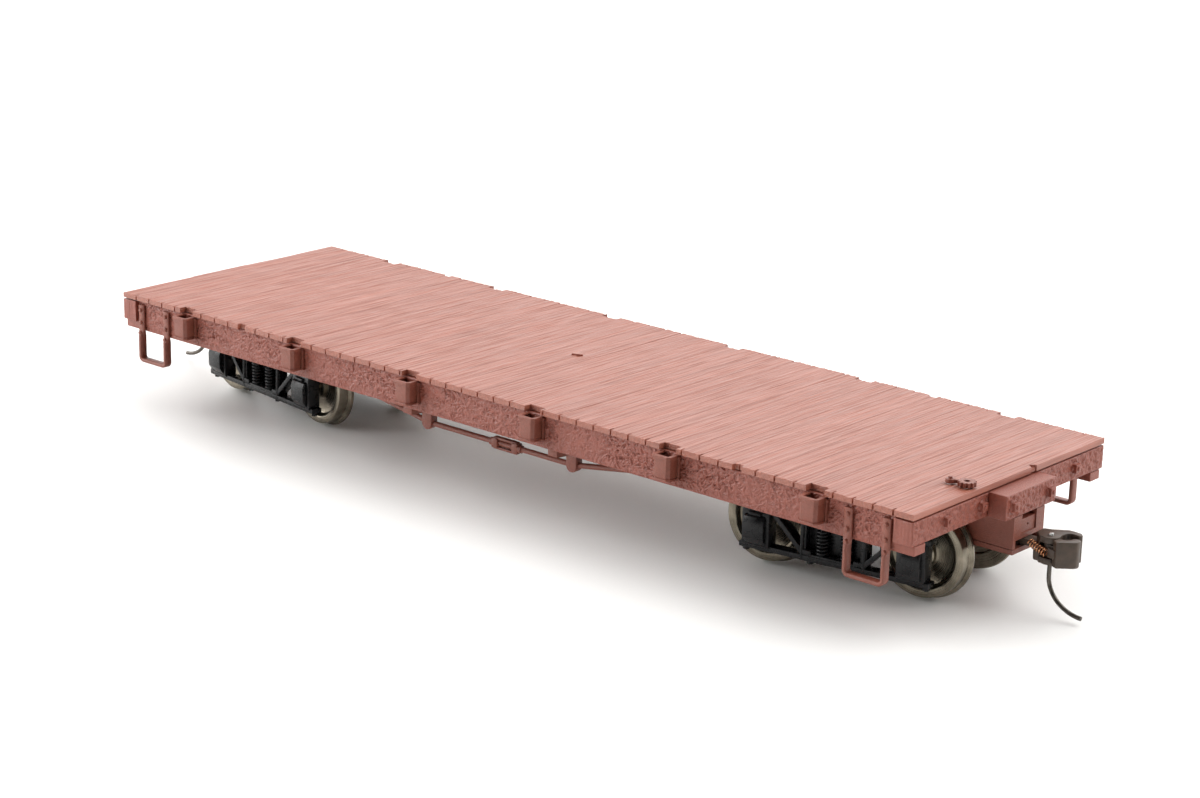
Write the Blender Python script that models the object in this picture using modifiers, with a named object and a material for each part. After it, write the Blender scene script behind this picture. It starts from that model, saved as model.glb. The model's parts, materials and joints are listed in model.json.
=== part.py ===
"""Model flat car on two archbar trucks, 1:48 on 16.5 mm gauge wheels.

Dimensions are written in millimetres and turned into metres as the meshes are made.
The origin is on the ground under the middle of the car. +X runs along the car to end A,
where the brake ratchet is, and +Z is up. "near" is the -Y side and "far" the +Y side.
"""

import math

import bmesh
import bpy
from mathutils import Matrix

MM = 0.001

# ---- driving dimensions, in millimetres ----

FIT_GAP = 0.1  # between pieces that are glued or screwed together
PLANKS = 49
PLANK_PITCH = 3.4
DECK_HALF_LENGTH = PLANKS * PLANK_PITCH / 2
DECK_HALF_WIDTH = 24.9
DECK_TOP = 19.7
DECK_THICKNESS = 1.0
GROOVE_WIDTH = 0.22
GROOVE_DEPTH = 0.2

SILL_TOP = DECK_TOP - DECK_THICKNESS - FIT_GAP
SIDE_SILL_FACE = 24.2
SIDE_SILL_THICKNESS = 2.6
SIDE_SILL_BOTTOM = 13.4
END_SILL_FACE = DECK_HALF_LENGTH  # flush with the end of the deck
END_SILL_THICKNESS = 3.2
END_SILL_BACK = END_SILL_FACE - END_SILL_THICKNESS
END_SILL_HALF_WIDTH = DECK_HALF_WIDTH
END_SILL_BOTTOM = 14.9

POCKET_PITCH = 26.67
POCKETS_PER_SIDE = 6
POCKET_HALF_WIDTH = 1.55
POCKET_REACH = 2.4
POCKET_BOTTOM = 14.7
POCKET_TOP = 18.4

STEP_BAR_SPACING = 6.5
STEP_CENTRE_X = 75.6
STEP_BOTTOM = 8.0

FRAME_CENTRE_X = 59.8  # kingpins, and so truck centres
TRUCK_SWIVEL = math.radians(8)  # at rest both trucks stand as on a curve whose middle is on the far side
BOLSTER_HALF_LENGTH = 2.6
NEEDLE_BEAM_X = 15.6
QUEEN_POST_Y = 17.7
ROD_RADIUS = 0.45
ROD_Z = 9.3
ROD_END_Z = 16.0
TURNBUCKLE_OFFSET = 1.4

GAUGE_HALF_BACK = 7.2  # wheel back face from the car's centre line
FLANGE_RADIUS = 7.3
TREAD_RADIUS = 6.7
WHEEL_WIDTH = 2.79
AXLE_RADIUS = 1.0
AXLE_HALF_LENGTH = 12.9
AXLE_X = 12.75  # from the truck's centre
WHEEL_SEGMENTS = 24

SIDE_FRAME_INNER = 11.3
SIDE_FRAME_OUTER = 13.0
JOURNAL_OUTER = 14.2
COLUMN_X = 5.0
COLUMN_WIDTH = 1.4
TIE_BAR_BOTTOM = 3.3
BAR_THICKNESS = 0.8
ARCH_TOP = 12.6
BOX_TOP = 9.8
SPRING_TOP = 8.6
BOLSTER_BOTTOM = 8.2
TRUCK_CENTRE_PLATE_TOP = 12.75
BODY_CENTRE_PLATE_BOTTOM = 12.95
CENTRE_PLATE_RADIUS = 2.5
KINGPIN_RADIUS = 0.95
KINGPIN_TOP = 16.8

BLOCK_FRONT = 86.5
BLOCK_HALF_WIDTH = 6.5
BLOCK_TOP = SILL_TOP
DRAFT_BOX_FRONT = 86.4
DRAFT_BOX_REAR = 74.6
DRAFT_BOX_HALF_WIDTH = 4.0
DRAFT_BOX_BOTTOM = 10.0
DRAFT_BOX_TOP = 14.8
DRAFT_SLOT_TOP = 11.2
DRAFT_WALL = 0.7
COUPLER_PIVOT_X = 78.6
SHANK_LOW = 10.1
SHANK_HIGH = 11.05
HEAD_LOW = 8.5
HEAD_HIGH = 12.6
KNUCKLE_PIN = (90.7, -0.9)
KNUCKLE_PIN_RADIUS = 0.45
KNUCKLE_TANG_LOW = 9.6
KNUCKLE_TANG_HIGH = 11.5
TRIP_WIRE_RADIUS = 0.36

# Each end or side is drawn once, for end A or the near side, and turned about Z for the other.
ENDS = (("a", 0.0), ("b", math.pi))
SIDES = (("near", 0.0), ("far", math.pi))

RED_PAINT = ((0.33, 0.11, 0.085), 0.62, 0.0)
BLACK_PLASTIC = ((0.012, 0.012, 0.013), 0.5, 0.0)
WHEEL_METAL = ((0.42, 0.36, 0.29), 0.3, 1.0)
BROWN_PLASTIC = ((0.09, 0.065, 0.052), 0.45, 0.0)
DARK_STEEL = ((0.08, 0.07, 0.062), 0.4, 1.0)
STEEL = ((0.45, 0.45, 0.44), 0.35, 1.0)


# ---- scene and materials ----


def clear_scene():
    for obj in list(bpy.data.objects):
        bpy.data.objects.remove(obj, do_unlink=True)


def new_collection(name):
    collection = bpy.data.collections.new(name)
    bpy.context.scene.collection.children.link(collection)
    return collection


def paint(obj, finish):
    """Gives the object its own Principled material."""
    colour, roughness, metallic = finish
    material = bpy.data.materials.new(obj.name + "_finish")
    material.use_nodes = True
    shader = material.node_tree.nodes["Principled BSDF"]
    shader.inputs["Base Color"].default_value = (*colour, 1.0)
    shader.inputs["Roughness"].default_value = roughness
    shader.inputs["Metallic"].default_value = metallic
    obj.data.materials.clear()
    obj.data.materials.append(material)


def add_object(name, data):
    obj = bpy.data.objects.new(name, data)
    CAR.objects.link(obj)
    return obj


def finish_piece(obj, finish, parent=None, turn=0.0):
    """Paints a piece and hangs it on its parent, turned about Z by the given angle."""
    paint(obj, finish)
    obj.parent = parent
    obj.rotation_euler.z = turn


def add_empty(name, x, y, z=0.0, turn=0.0, parent=None):
    empty = add_object(name, None)
    empty.location = (x * MM, y * MM, z * MM)
    empty.rotation_euler.z = turn
    empty.empty_display_size = 5 * MM
    empty.parent = parent
    return empty


# ---- shapes ----


def mesh_object(name, shape):
    mesh = bpy.data.meshes.new(name)
    shape.to_mesh(mesh)
    shape.free()
    return add_object(name, mesh)


def boxes(name, spans):
    """One object of separate boxes, each given as ((x0, x1), (y0, y1), (z0, z1))."""
    shape = bmesh.new()
    for span in spans:
        centre = [(low + high) / 2 * MM for low, high in span]
        size = [(high - low) * MM for low, high in span]
        matrix = Matrix.Translation(centre) @ Matrix.Diagonal((*size, 1.0))
        bmesh.ops.create_cube(shape, size=1.0, matrix=matrix)
    return mesh_object(name, shape)


def box(name, x_span, y_span, z_span):
    return boxes(name, [(x_span, y_span, z_span)])


AXIS_TURNS = {
    "X": Matrix.Rotation(math.pi / 2, 4, "Y"),
    "Y": Matrix.Rotation(-math.pi / 2, 4, "X"),
    "Z": Matrix.Identity(4),
}


def rods(name, axis, span, radius, centres, segments=12):
    """Cylinders along one axis, each through a centre point, in one object."""
    low, high = span
    shape = bmesh.new()
    for centre in centres:
        place = list(centre)
        place.insert("XYZ".index(axis), (low + high) / 2)
        matrix = Matrix.Translation([value * MM for value in place]) @ AXIS_TURNS[axis]
        bmesh.ops.create_cone(
            shape,
            cap_ends=True,
            segments=segments,
            radius1=radius * MM,
            radius2=radius * MM,
            depth=(high - low) * MM,
            matrix=matrix,
        )
    return mesh_object(name, shape)


def mesh_from_curve(name, curve, matrix):
    """A welded mesh object made from a curve, with the matrix applied."""
    source = add_object(name + "_curve", curve)
    graph = bpy.context.evaluated_depsgraph_get()
    mesh = bpy.data.meshes.new_from_object(source.evaluated_get(graph))
    bpy.data.objects.remove(source, do_unlink=True)
    bpy.data.curves.remove(curve)
    shape = bmesh.new()
    shape.from_mesh(mesh)
    bpy.data.meshes.remove(mesh)
    bmesh.ops.remove_doubles(shape, verts=shape.verts, dist=0.001 * MM)
    bmesh.ops.transform(shape, matrix=matrix, verts=shape.verts)
    return mesh_object(name, shape)


# Each plane's first two axes are the outline's, and the third is the way it is extruded.
PLANES = {
    "XY": Matrix(((1, 0, 0, 0), (0, 1, 0, 0), (0, 0, 1, 0), (0, 0, 0, 1))),
    "XZ": Matrix(((1, 0, 0, 0), (0, 0, -1, 0), (0, 1, 0, 0), (0, 0, 0, 1))),
    "YZ": Matrix(((0, 0, 1, 0), (1, 0, 0, 0), (0, 1, 0, 0), (0, 0, 0, 1))),
}


def plate(name, plane, span, outline, holes=()):
    """A flat outline with holes, extruded over the span of the axis that the plane leaves out."""
    low, high = span
    curve = bpy.data.curves.new(name, "CURVE")
    curve.dimensions = "2D"
    curve.fill_mode = "BOTH"
    curve.extrude = (high - low) / 2 * MM
    for loop in (outline, *holes):
        spline = curve.splines.new("POLY")
        spline.points.add(len(loop) - 1)
        for point, (u, v) in zip(spline.points, loop):
            point.co = (u * MM, v * MM, 0.0, 1.0)
        spline.use_cyclic_u = True
    middle = (low + high) / 2 * MM
    axis = "XYZ".replace(plane[0], "").replace(plane[1], "")
    offset = {"X": (middle, 0, 0), "Y": (0, middle, 0), "Z": (0, 0, middle)}[axis]
    return mesh_from_curve(name, curve, Matrix.Translation(offset) @ PLANES[plane])


def wire(name, points, radius, sides_level=3):
    """A round wire along a polyline."""
    curve = bpy.data.curves.new(name, "CURVE")
    curve.dimensions = "3D"
    curve.bevel_depth = radius * MM
    curve.bevel_resolution = sides_level
    curve.use_fill_caps = True
    spline = curve.splines.new("POLY")
    spline.points.add(len(points) - 1)
    for point, (x, y, z) in zip(spline.points, points):
        point.co = (x * MM, y * MM, z * MM, 1.0)
    return mesh_from_curve(name, curve, Matrix.Identity(4))


def turned(name, profile, closed):
    """A profile of (radius, place along Y) turned about the Y axis, listed towards -Y."""
    shape = bmesh.new()
    verts = [shape.verts.new((radius * MM, 0.0, along * MM)) for radius, along in profile]
    pairs = list(zip(verts, verts[1:]))
    if closed:
        pairs.append((verts[-1], verts[0]))
    for pair in pairs:
        shape.edges.new(pair)
    obj = mesh_object(name, shape)
    screw = obj.modifiers.new("turn", "SCREW")
    screw.steps = WHEEL_SEGMENTS
    screw.render_steps = WHEEL_SEGMENTS
    screw.use_merge_vertices = True
    screw.merge_threshold = 0.001 * MM
    obj.rotation_euler.x = -math.pi / 2
    return obj


def use_as_tool(tool, target):
    CAR.objects.unlink(tool)
    CUTTERS.objects.link(tool)
    tool.hide_render = True
    tool.display_type = "WIRE"
    tool.parent = target


def combine(target, operation, tools):
    for tool in tools:
        modifier = target.modifiers.new(tool.name, "BOOLEAN")
        modifier.operation = operation
        modifier.solver = "EXACT"
        modifier.object = tool
        use_as_tool(tool, target)
    return target


def join(target, *tools):
    return combine(target, "UNION", tools)


def cut(target, *tools):
    return combine(target, "DIFFERENCE", tools)


def arc(centre, radius, start, end, steps):
    """Points on an arc, with the angles in degrees."""
    points = []
    for step in range(steps + 1):
        angle = math.radians(start + (end - start) * step / steps)
        points.append((centre[0] + radius * math.cos(angle), centre[1] + radius * math.sin(angle)))
    return points


def mirrored(half):
    """A closed outline from its half at u > 0."""
    return half + [(-u, v) for u, v in reversed(half)]


def bolt_heads(name, axis, face, centres, washer=0.95, nut=0.6, height=0.95):
    """Round washers with nuts on them, standing out of a face on one axis; returns both tools."""
    root = face - math.copysign(0.2, face)
    washer_top = face + math.copysign(0.25, face)
    nut_top = face + math.copysign(height, face)
    washers = rods(name + "_washers", axis, sorted((root, washer_top)), washer, centres, 10)
    nuts = rods(name + "_nuts", axis, sorted((root, nut_top)), nut, centres, 6)
    return washers, nuts


# ---- body ----


def plank_centre(number):
    return (number - (PLANKS - 1) / 2) * PLANK_PITCH


def pocket_x(number):
    return (number - (POCKETS_PER_SIDE - 1) / 2) * POCKET_PITCH


def make_deck():
    """One moulding with a groove between planks, notched over each stake pocket."""
    notch_half_width = 1.6
    notch_depth = 1.2
    small_notch_x = 52.75
    small_notch_half_width = 0.8
    small_notch_depth = 0.7
    end_notch_y = 5.5
    end_notch_half_width = 0.5
    end_notch_depth = 0.9
    tab_centre = (-1.25, 1.7)
    tab_radius = 1.0
    bottom = DECK_TOP - DECK_THICKNESS
    outline = [(-DECK_HALF_LENGTH, DECK_TOP)]
    for seam in range(1, PLANKS):
        x = -DECK_HALF_LENGTH + seam * PLANK_PITCH
        outline.append((x - GROOVE_WIDTH / 2, DECK_TOP))
        outline.append((x, DECK_TOP - GROOVE_DEPTH))
        outline.append((x + GROOVE_WIDTH / 2, DECK_TOP))
    outline += [(DECK_HALF_LENGTH, DECK_TOP), (DECK_HALF_LENGTH, bottom), (-DECK_HALF_LENGTH, bottom)]
    deck = plate("deck", "XZ", (-DECK_HALF_WIDTH, DECK_HALF_WIDTH), outline)
    z_span = (bottom - 1, DECK_TOP + 1)
    notches = []
    for side in (-1, 1):
        for number in range(POCKETS_PER_SIDE):
            x = pocket_x(number)
            y_span = sorted((side * (DECK_HALF_WIDTH - notch_depth), side * (DECK_HALF_WIDTH + 1)))
            notches.append(((x - notch_half_width, x + notch_half_width), y_span, z_span))
        for x in (-small_notch_x, small_notch_x):
            y_span = sorted((side * (DECK_HALF_WIDTH - small_notch_depth), side * (DECK_HALF_WIDTH + 1)))
            notches.append(((x - small_notch_half_width, x + small_notch_half_width), y_span, z_span))
    notches.append(
        (
            (DECK_HALF_LENGTH - end_notch_depth, DECK_HALF_LENGTH + 1),
            (end_notch_y - end_notch_half_width, end_notch_y + end_notch_half_width),
            z_span,
        )
    )
    cut(deck, boxes("deck_notches", notches))
    tab_span = (DECK_TOP - 0.4, DECK_TOP + 0.2)
    join(deck, rods("deck_tab", "Z", tab_span, tab_radius, [tab_centre]))
    finish_piece(deck, RED_PAINT)


def make_side_sills():
    """Long side timbers, notched at the ends for the end sills to lie over them."""
    notch_x = END_SILL_BACK - FIT_GAP
    notch_z = END_SILL_BOTTOM - FIT_GAP
    half = [
        (END_SILL_FACE, SIDE_SILL_BOTTOM),
        (END_SILL_FACE, notch_z),
        (notch_x, notch_z),
        (notch_x, SILL_TOP),
    ]
    for name, side in (("side_sill_near", -1), ("side_sill_far", 1)):
        y_span = sorted((side * SIDE_SILL_FACE, side * (SIDE_SILL_FACE - SIDE_SILL_THICKNESS)))
        finish_piece(plate(name, "XZ", y_span, mirrored(half)), RED_PAINT)


def make_end(letter, turn):
    """End sill, buffer block and draft gear box of one end, drawn for end A."""
    bolt_z = 16.8
    sill = box(
        "end_sill_" + letter,
        (END_SILL_BACK, END_SILL_FACE),
        (-END_SILL_HALF_WIDTH, END_SILL_HALF_WIDTH),
        (END_SILL_BOTTOM, SILL_TOP),
    )
    sill_bolts = [(y, bolt_z) for y in (-16.8, -8.0, 8.0, 16.8)]
    join(sill, *bolt_heads("end_sill_bolts_" + letter, "X", END_SILL_FACE, sill_bolts))
    finish_piece(sill, RED_PAINT, turn=turn)

    block = box(
        "buffer_block_" + letter,
        (END_SILL_FACE + FIT_GAP, BLOCK_FRONT),
        (-BLOCK_HALF_WIDTH, BLOCK_HALF_WIDTH),
        (END_SILL_BOTTOM, BLOCK_TOP),
    )
    block_bolts = [(y, bolt_z) for y in (-4.75, 4.75)]
    join(block, *bolt_heads("block_bolts_" + letter, "X", BLOCK_FRONT, block_bolts))
    finish_piece(block, RED_PAINT, turn=turn)
    make_draft_gear(letter, turn)


def make_draft_gear(letter, turn):
    """Coupler box with its bottom lid. The coupler turns on the post inside the box."""
    front_notch_half_width = 1.9
    front_notch_back = 84.9
    front_notch_low = 14.0
    front_panel_low = 11.9
    front_panel_depth = 0.2
    drain_radius = 0.2
    post_radius = 0.95
    lid_bottom = 9.2
    screw_radius = 1.3
    housing = box(
        "draft_gear_box_" + letter,
        (DRAFT_BOX_REAR, DRAFT_BOX_FRONT),
        (-DRAFT_BOX_HALF_WIDTH, DRAFT_BOX_HALF_WIDTH),
        (DRAFT_BOX_BOTTOM, DRAFT_BOX_TOP),
    )
    inner = DRAFT_BOX_HALF_WIDTH - DRAFT_WALL
    cavity = (
        (DRAFT_BOX_REAR + DRAFT_WALL, DRAFT_BOX_FRONT + 1),
        (-inner, inner),
        (DRAFT_BOX_BOTTOM - 1, DRAFT_SLOT_TOP),
    )
    front_notch = (
        (front_notch_back, DRAFT_BOX_FRONT + 1),
        (-front_notch_half_width, front_notch_half_width),
        (front_notch_low, DRAFT_BOX_TOP + 1),
    )
    front_panel = (
        (DRAFT_BOX_FRONT - front_panel_depth, DRAFT_BOX_FRONT + 1),
        (-front_notch_half_width, front_notch_half_width),
        (front_panel_low, DRAFT_BOX_TOP + 1),
    )
    cut(housing, boxes("draft_box_space_" + letter, [cavity]))
    cut(housing, boxes("draft_box_notch_" + letter, [front_notch]))
    cut(housing, boxes("draft_box_panel_" + letter, [front_panel]))
    drain_span = (DRAFT_BOX_FRONT - 0.8, DRAFT_BOX_FRONT + 1)
    cut(housing, rods("draft_box_drain_" + letter, "X", drain_span, drain_radius, [(0, 13.0)], 8))
    pivot = [(COUPLER_PIVOT_X, 0)]
    post_span = (DRAFT_BOX_BOTTOM, DRAFT_SLOT_TOP + 0.3)
    join(housing, rods("draft_post_" + letter, "Z", post_span, post_radius, pivot))
    finish_piece(housing, RED_PAINT, turn=turn)

    lid = box(
        "draft_gear_lid_" + letter,
        (DRAFT_BOX_REAR, DRAFT_BOX_FRONT),
        (-DRAFT_BOX_HALF_WIDTH, DRAFT_BOX_HALF_WIDTH),
        (lid_bottom, DRAFT_BOX_BOTTOM - FIT_GAP),
    )
    screw_span = (lid_bottom - 0.4, lid_bottom + 0.2)
    join(lid, rods("draft_lid_screw_" + letter, "Z", screw_span, screw_radius, pivot))
    finish_piece(lid, RED_PAINT, turn=turn)


def make_underframe():
    """Centre sill, ballast plate, and the two cross beams of each kind."""
    ballast_thickness = 1.2
    ballast_half_width = 15.0
    centre_half_width = 2.6
    bolster_side = FRAME_CENTRE_X - BOLSTER_HALF_LENGTH - FIT_GAP
    ballast_bottom = SILL_TOP - ballast_thickness
    ballast = box(
        "ballast_plate",
        (-bolster_side, bolster_side),
        (-ballast_half_width, ballast_half_width),
        (ballast_bottom, SILL_TOP),
    )
    finish_piece(ballast, STEEL)
    centre_sill = box(
        "centre_sill",
        (-bolster_side, bolster_side),
        (-centre_half_width, centre_half_width),
        (SIDE_SILL_BOTTOM, ballast_bottom - FIT_GAP),
    )
    finish_piece(centre_sill, RED_PAINT)
    for letter, turn in ENDS:
        make_body_bolster(letter, turn)
        make_needle_beam(letter, turn)


def make_body_bolster(letter, turn):
    """Tapered cross beam over a truck, with a round centre plate and the kingpin's hole."""
    reach = SIDE_SILL_FACE - SIDE_SILL_THICKNESS - FIT_GAP
    half = [(reach, SILL_TOP), (reach, 16.9), (9.0, SIDE_SILL_BOTTOM)]
    x_span = (FRAME_CENTRE_X - BOLSTER_HALF_LENGTH, FRAME_CENTRE_X + BOLSTER_HALF_LENGTH)
    beam = plate("body_bolster_" + letter, "YZ", x_span, mirrored(half))
    centre = [(FRAME_CENTRE_X, 0)]
    plate_span = (BODY_CENTRE_PLATE_BOTTOM, SIDE_SILL_BOTTOM + 0.3)
    hole_span = (BODY_CENTRE_PLATE_BOTTOM - 1, KINGPIN_TOP + 0.2)
    centre_plate = rods("body_centre_plate_" + letter, "Z", plate_span, CENTRE_PLATE_RADIUS, centre, 20)
    hole = rods("kingpin_hole_" + letter, "Z", hole_span, KINGPIN_RADIUS + FIT_GAP, centre)
    join(beam, centre_plate)
    cut(beam, hole)
    finish_piece(beam, RED_PAINT, turn=turn)


def make_needle_beam(letter, turn):
    """Cross beam under the sills with two queen posts, whose rounded feet hold the truss rods."""
    top = SIDE_SILL_BOTTOM - FIT_GAP
    post_half_width = 1.05
    post_half_depth = 0.75
    hole_radius = ROD_RADIUS + 0.17
    half = [(22.8, top), (22.8, 11.8), (19.4, 11.5), (10.0, 10.2)]
    x_span = (NEEDLE_BEAM_X - 0.95, NEEDLE_BEAM_X + 0.95)
    beam = plate("needle_beam_" + letter, "YZ", x_span, mirrored(half))
    foot = arc((NEEDLE_BEAM_X, ROD_Z), post_half_width, 180, 360, 8)
    post_outline = foot + [
        (NEEDLE_BEAM_X + post_half_width, top - 0.4),
        (NEEDLE_BEAM_X - post_half_width, top - 0.4),
    ]
    for side in (-1, 1):
        middle = side * QUEEN_POST_Y
        y_span = (middle - post_half_depth, middle + post_half_depth)
        tag = letter + ("_near" if side < 0 else "_far")
        join(beam, plate("queen_post_" + tag, "XZ", y_span, post_outline))
    holes = [(y, ROD_Z) for y in (-QUEEN_POST_Y, QUEEN_POST_Y)]
    hole_span = (NEEDLE_BEAM_X - 2, NEEDLE_BEAM_X + 2)
    cut(beam, rods("rod_holes_" + letter, "X", hole_span, hole_radius, holes))
    finish_piece(beam, RED_PAINT, turn=turn)


def make_truss_rod(name, turn):
    """Near-side rod from body bolster to body bolster under the queen posts, with its turnbuckle."""
    end_x = FRAME_CENTRE_X - BOLSTER_HALF_LENGTH - FIT_GAP
    y = -QUEEN_POST_Y
    route = [(-end_x, ROD_END_Z), (-NEEDLE_BEAM_X, ROD_Z), (NEEDLE_BEAM_X, ROD_Z), (end_x, ROD_END_Z)]
    rod = wire(name, [(x, y, z) for x, z in route], ROD_RADIUS)
    half_length = 2.8
    half_height = 1.0
    corner = 0.6
    centre_x = TURNBUCKLE_OFFSET
    outline = []
    for across, along, start in ((1, 1, 0), (-1, 1, 90), (-1, -1, 180), (1, -1, 270)):
        centre = (centre_x + across * (half_length - corner), ROD_Z + along * (half_height - corner))
        outline += arc(centre, corner, start, start + 90, 2)
    window = [
        (centre_x - 1.5, ROD_Z - 0.6),
        (centre_x + 1.5, ROD_Z - 0.6),
        (centre_x + 1.5, ROD_Z + 0.6),
        (centre_x - 1.5, ROD_Z + 0.6),
    ]
    join(rod, plate(name + "_turnbuckle", "XZ", (y - 0.7, y + 0.7), outline, [window]))
    finish_piece(rod, RED_PAINT, turn=turn)


def make_stake_pocket(name, x, turn):
    """Open cup for a stake on the near side sill, with a flange against the sill and a thick rim."""
    back = -(SIDE_SILL_FACE + FIT_GAP)
    front = -(SIDE_SILL_FACE + POCKET_REACH)
    chamfer = 0.5
    flange = 0.45
    flange_thickness = 0.35
    flange_edge = 0.28
    wall = 0.5
    rim_extra = 0.2
    rim_height = 0.45

    wide = POCKET_HALF_WIDTH
    cup_half = [
        (wide - chamfer, front),
        (wide, front + chamfer),
        (wide, back - flange_thickness),
        (wide + flange, back - flange_edge),
        (wide + flange, back),
    ]
    rim_wide = wide + rim_extra
    rim_half = [
        (rim_wide - chamfer, front - rim_extra),
        (rim_wide, front - rim_extra + chamfer),
        (rim_wide, back - 0.15),
    ]

    def hollow(shrink):
        width = wide - wall + shrink
        near = front + wall - shrink
        deep = back - flange_thickness - 0.05 + shrink
        half = [(width, near), (width, deep)]
        return [(x + u, v) for u, v in mirrored(half)]

    cup_outline = [(x + u, v) for u, v in mirrored(cup_half)]
    rim_outline = [(x + u, v) for u, v in mirrored(rim_half)]
    cup = plate(name, "XY", (POCKET_BOTTOM, POCKET_TOP), cup_outline, [hollow(0.0)])
    rim_span = (POCKET_TOP - rim_height, POCKET_TOP + 0.1)
    rim = plate(name + "_rim", "XY", rim_span, rim_outline, [hollow(0.12)])
    join(cup, rim)
    finish_piece(cup, RED_PAINT, turn=turn)


def make_step(name, centre_x, turn):
    """Stirrup step on the near side: two bolted straps that turn edge-on below the sill into a U."""
    back = -(SIDE_SILL_FACE + FIT_GAP)
    strap_half_width = 0.7
    strap_thickness = 0.45
    strap_top = 18.0
    bar = 0.6
    tread_depth = 1.4
    leg_top = 13.25
    corner = 1.0
    middle_y = back - strap_thickness / 2
    half_outer = STEP_BAR_SPACING / 2 + bar / 2
    half_inner = half_outer - bar
    outer_right = arc((half_outer - corner, STEP_BOTTOM + corner), corner, 270, 360, 4)
    inner_corner = (half_inner - 0.3, STEP_BOTTOM + bar + 0.3)
    half = outer_right + [(half_outer, leg_top), (half_inner, leg_top)]
    half += arc(inner_corner, 0.3, 360, 270, 2)
    outline = [(centre_x + u, v) for u, v in mirrored(half)]
    step = plate(name, "XZ", (middle_y - tread_depth / 2, middle_y + tread_depth / 2), outline)
    straps = []
    bolts = []
    for side in (-1, 1):
        x = centre_x + side * STEP_BAR_SPACING / 2
        straps.append(
            ((x - strap_half_width, x + strap_half_width), (back - strap_thickness, back), (12.9, strap_top))
        )
        bolts += [(x, 17.1), (x, 14.9)]
    join(step, boxes(name + "_straps", straps))
    bolt_span = (back - strap_thickness - 0.35, back - 0.2)
    join(step, rods(name + "_bolts", "Y", bolt_span, 0.4, bolts, 8))
    finish_piece(step, RED_PAINT, turn=turn)


def make_brake_fittings():
    """Ratchet wheel and pawl on the deck, for a brake staff that isn't fitted."""
    bottom = DECK_TOP + FIT_GAP
    teeth = 12
    wheel_centre = (81.6, -9.4)
    outer = 1.35
    inner = 1.05
    outline = []
    for tooth in range(teeth):
        for share, radius in ((0.0, inner), (0.35, outer), (0.65, outer)):
            angle = 2 * math.pi * (tooth + share) / teeth
            outline.append(
                (wheel_centre[0] + radius * math.cos(angle), wheel_centre[1] + radius * math.sin(angle))
            )
    staff_hole = arc(wheel_centre, 0.45, 0, 330, 11)
    wheel = plate("brake_ratchet", "XY", (bottom, bottom + 0.7), outline, [staff_hole])
    finish_piece(wheel, RED_PAINT)

    pivot = (79.05, -9.8)
    tip = (wheel_centre[0] - outer - FIT_GAP, -9.3)
    outline = arc(pivot, 0.75, 60, 300, 8) + [(tip[0], tip[1] - 0.25), (tip[0], tip[1] + 0.25)]
    pawl = plate("brake_pawl", "XY", (bottom, bottom + 0.5), outline)
    join(pawl, rods("pawl_bolt", "Z", (bottom + 0.3, bottom + 0.9), 0.5, [pivot], 8))
    finish_piece(pawl, RED_PAINT)


# ---- trucks and wheels, drawn about the truck's own centre ----


def side_frame_outline():
    """Outer edge of an archbar side frame and its five windows, in the truck's X and Z."""
    bar_end = 15.6
    box_outer = 15.0
    box_inner = 10.1
    knee = 6.2
    top_bar_low = BOX_TOP + BAR_THICKNESS
    column_inner = COLUMN_X - COLUMN_WIDTH / 2
    column_outer = COLUMN_X + COLUMN_WIDTH / 2
    tie_top = TIE_BAR_BOTTOM + BAR_THICKNESS
    half = [
        (knee, ARCH_TOP),
        (box_inner, top_bar_low),
        (bar_end, top_bar_low),
        (bar_end, BOX_TOP),
        (box_outer, BOX_TOP),
        (box_outer, tie_top),
        (bar_end, tie_top),
        (bar_end, TIE_BAR_BOTTOM),
    ]
    centre_window = [
        (column_inner, ARCH_TOP - BAR_THICKNESS),
        (column_inner, tie_top + BAR_THICKNESS),
        (-column_inner, tie_top + BAR_THICKNESS),
        (-column_inner, ARCH_TOP - BAR_THICKNESS),
    ]
    arch_window = [
        (column_outer, ARCH_TOP - BAR_THICKNESS - 0.2),
        (column_outer, tie_top + 2 * BAR_THICKNESS),
        (box_inner - 0.4, BOX_TOP - 0.1),
    ]
    tie_window = [
        (column_outer + 1.1, tie_top),
        (box_inner, tie_top),
        (box_inner, BOX_TOP - 1.7),
    ]
    windows = [centre_window]
    for window in (arch_window, tie_window):
        windows.append(window)
        windows.append([(-u, v) for u, v in window])
    return mirrored(half), windows


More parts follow.
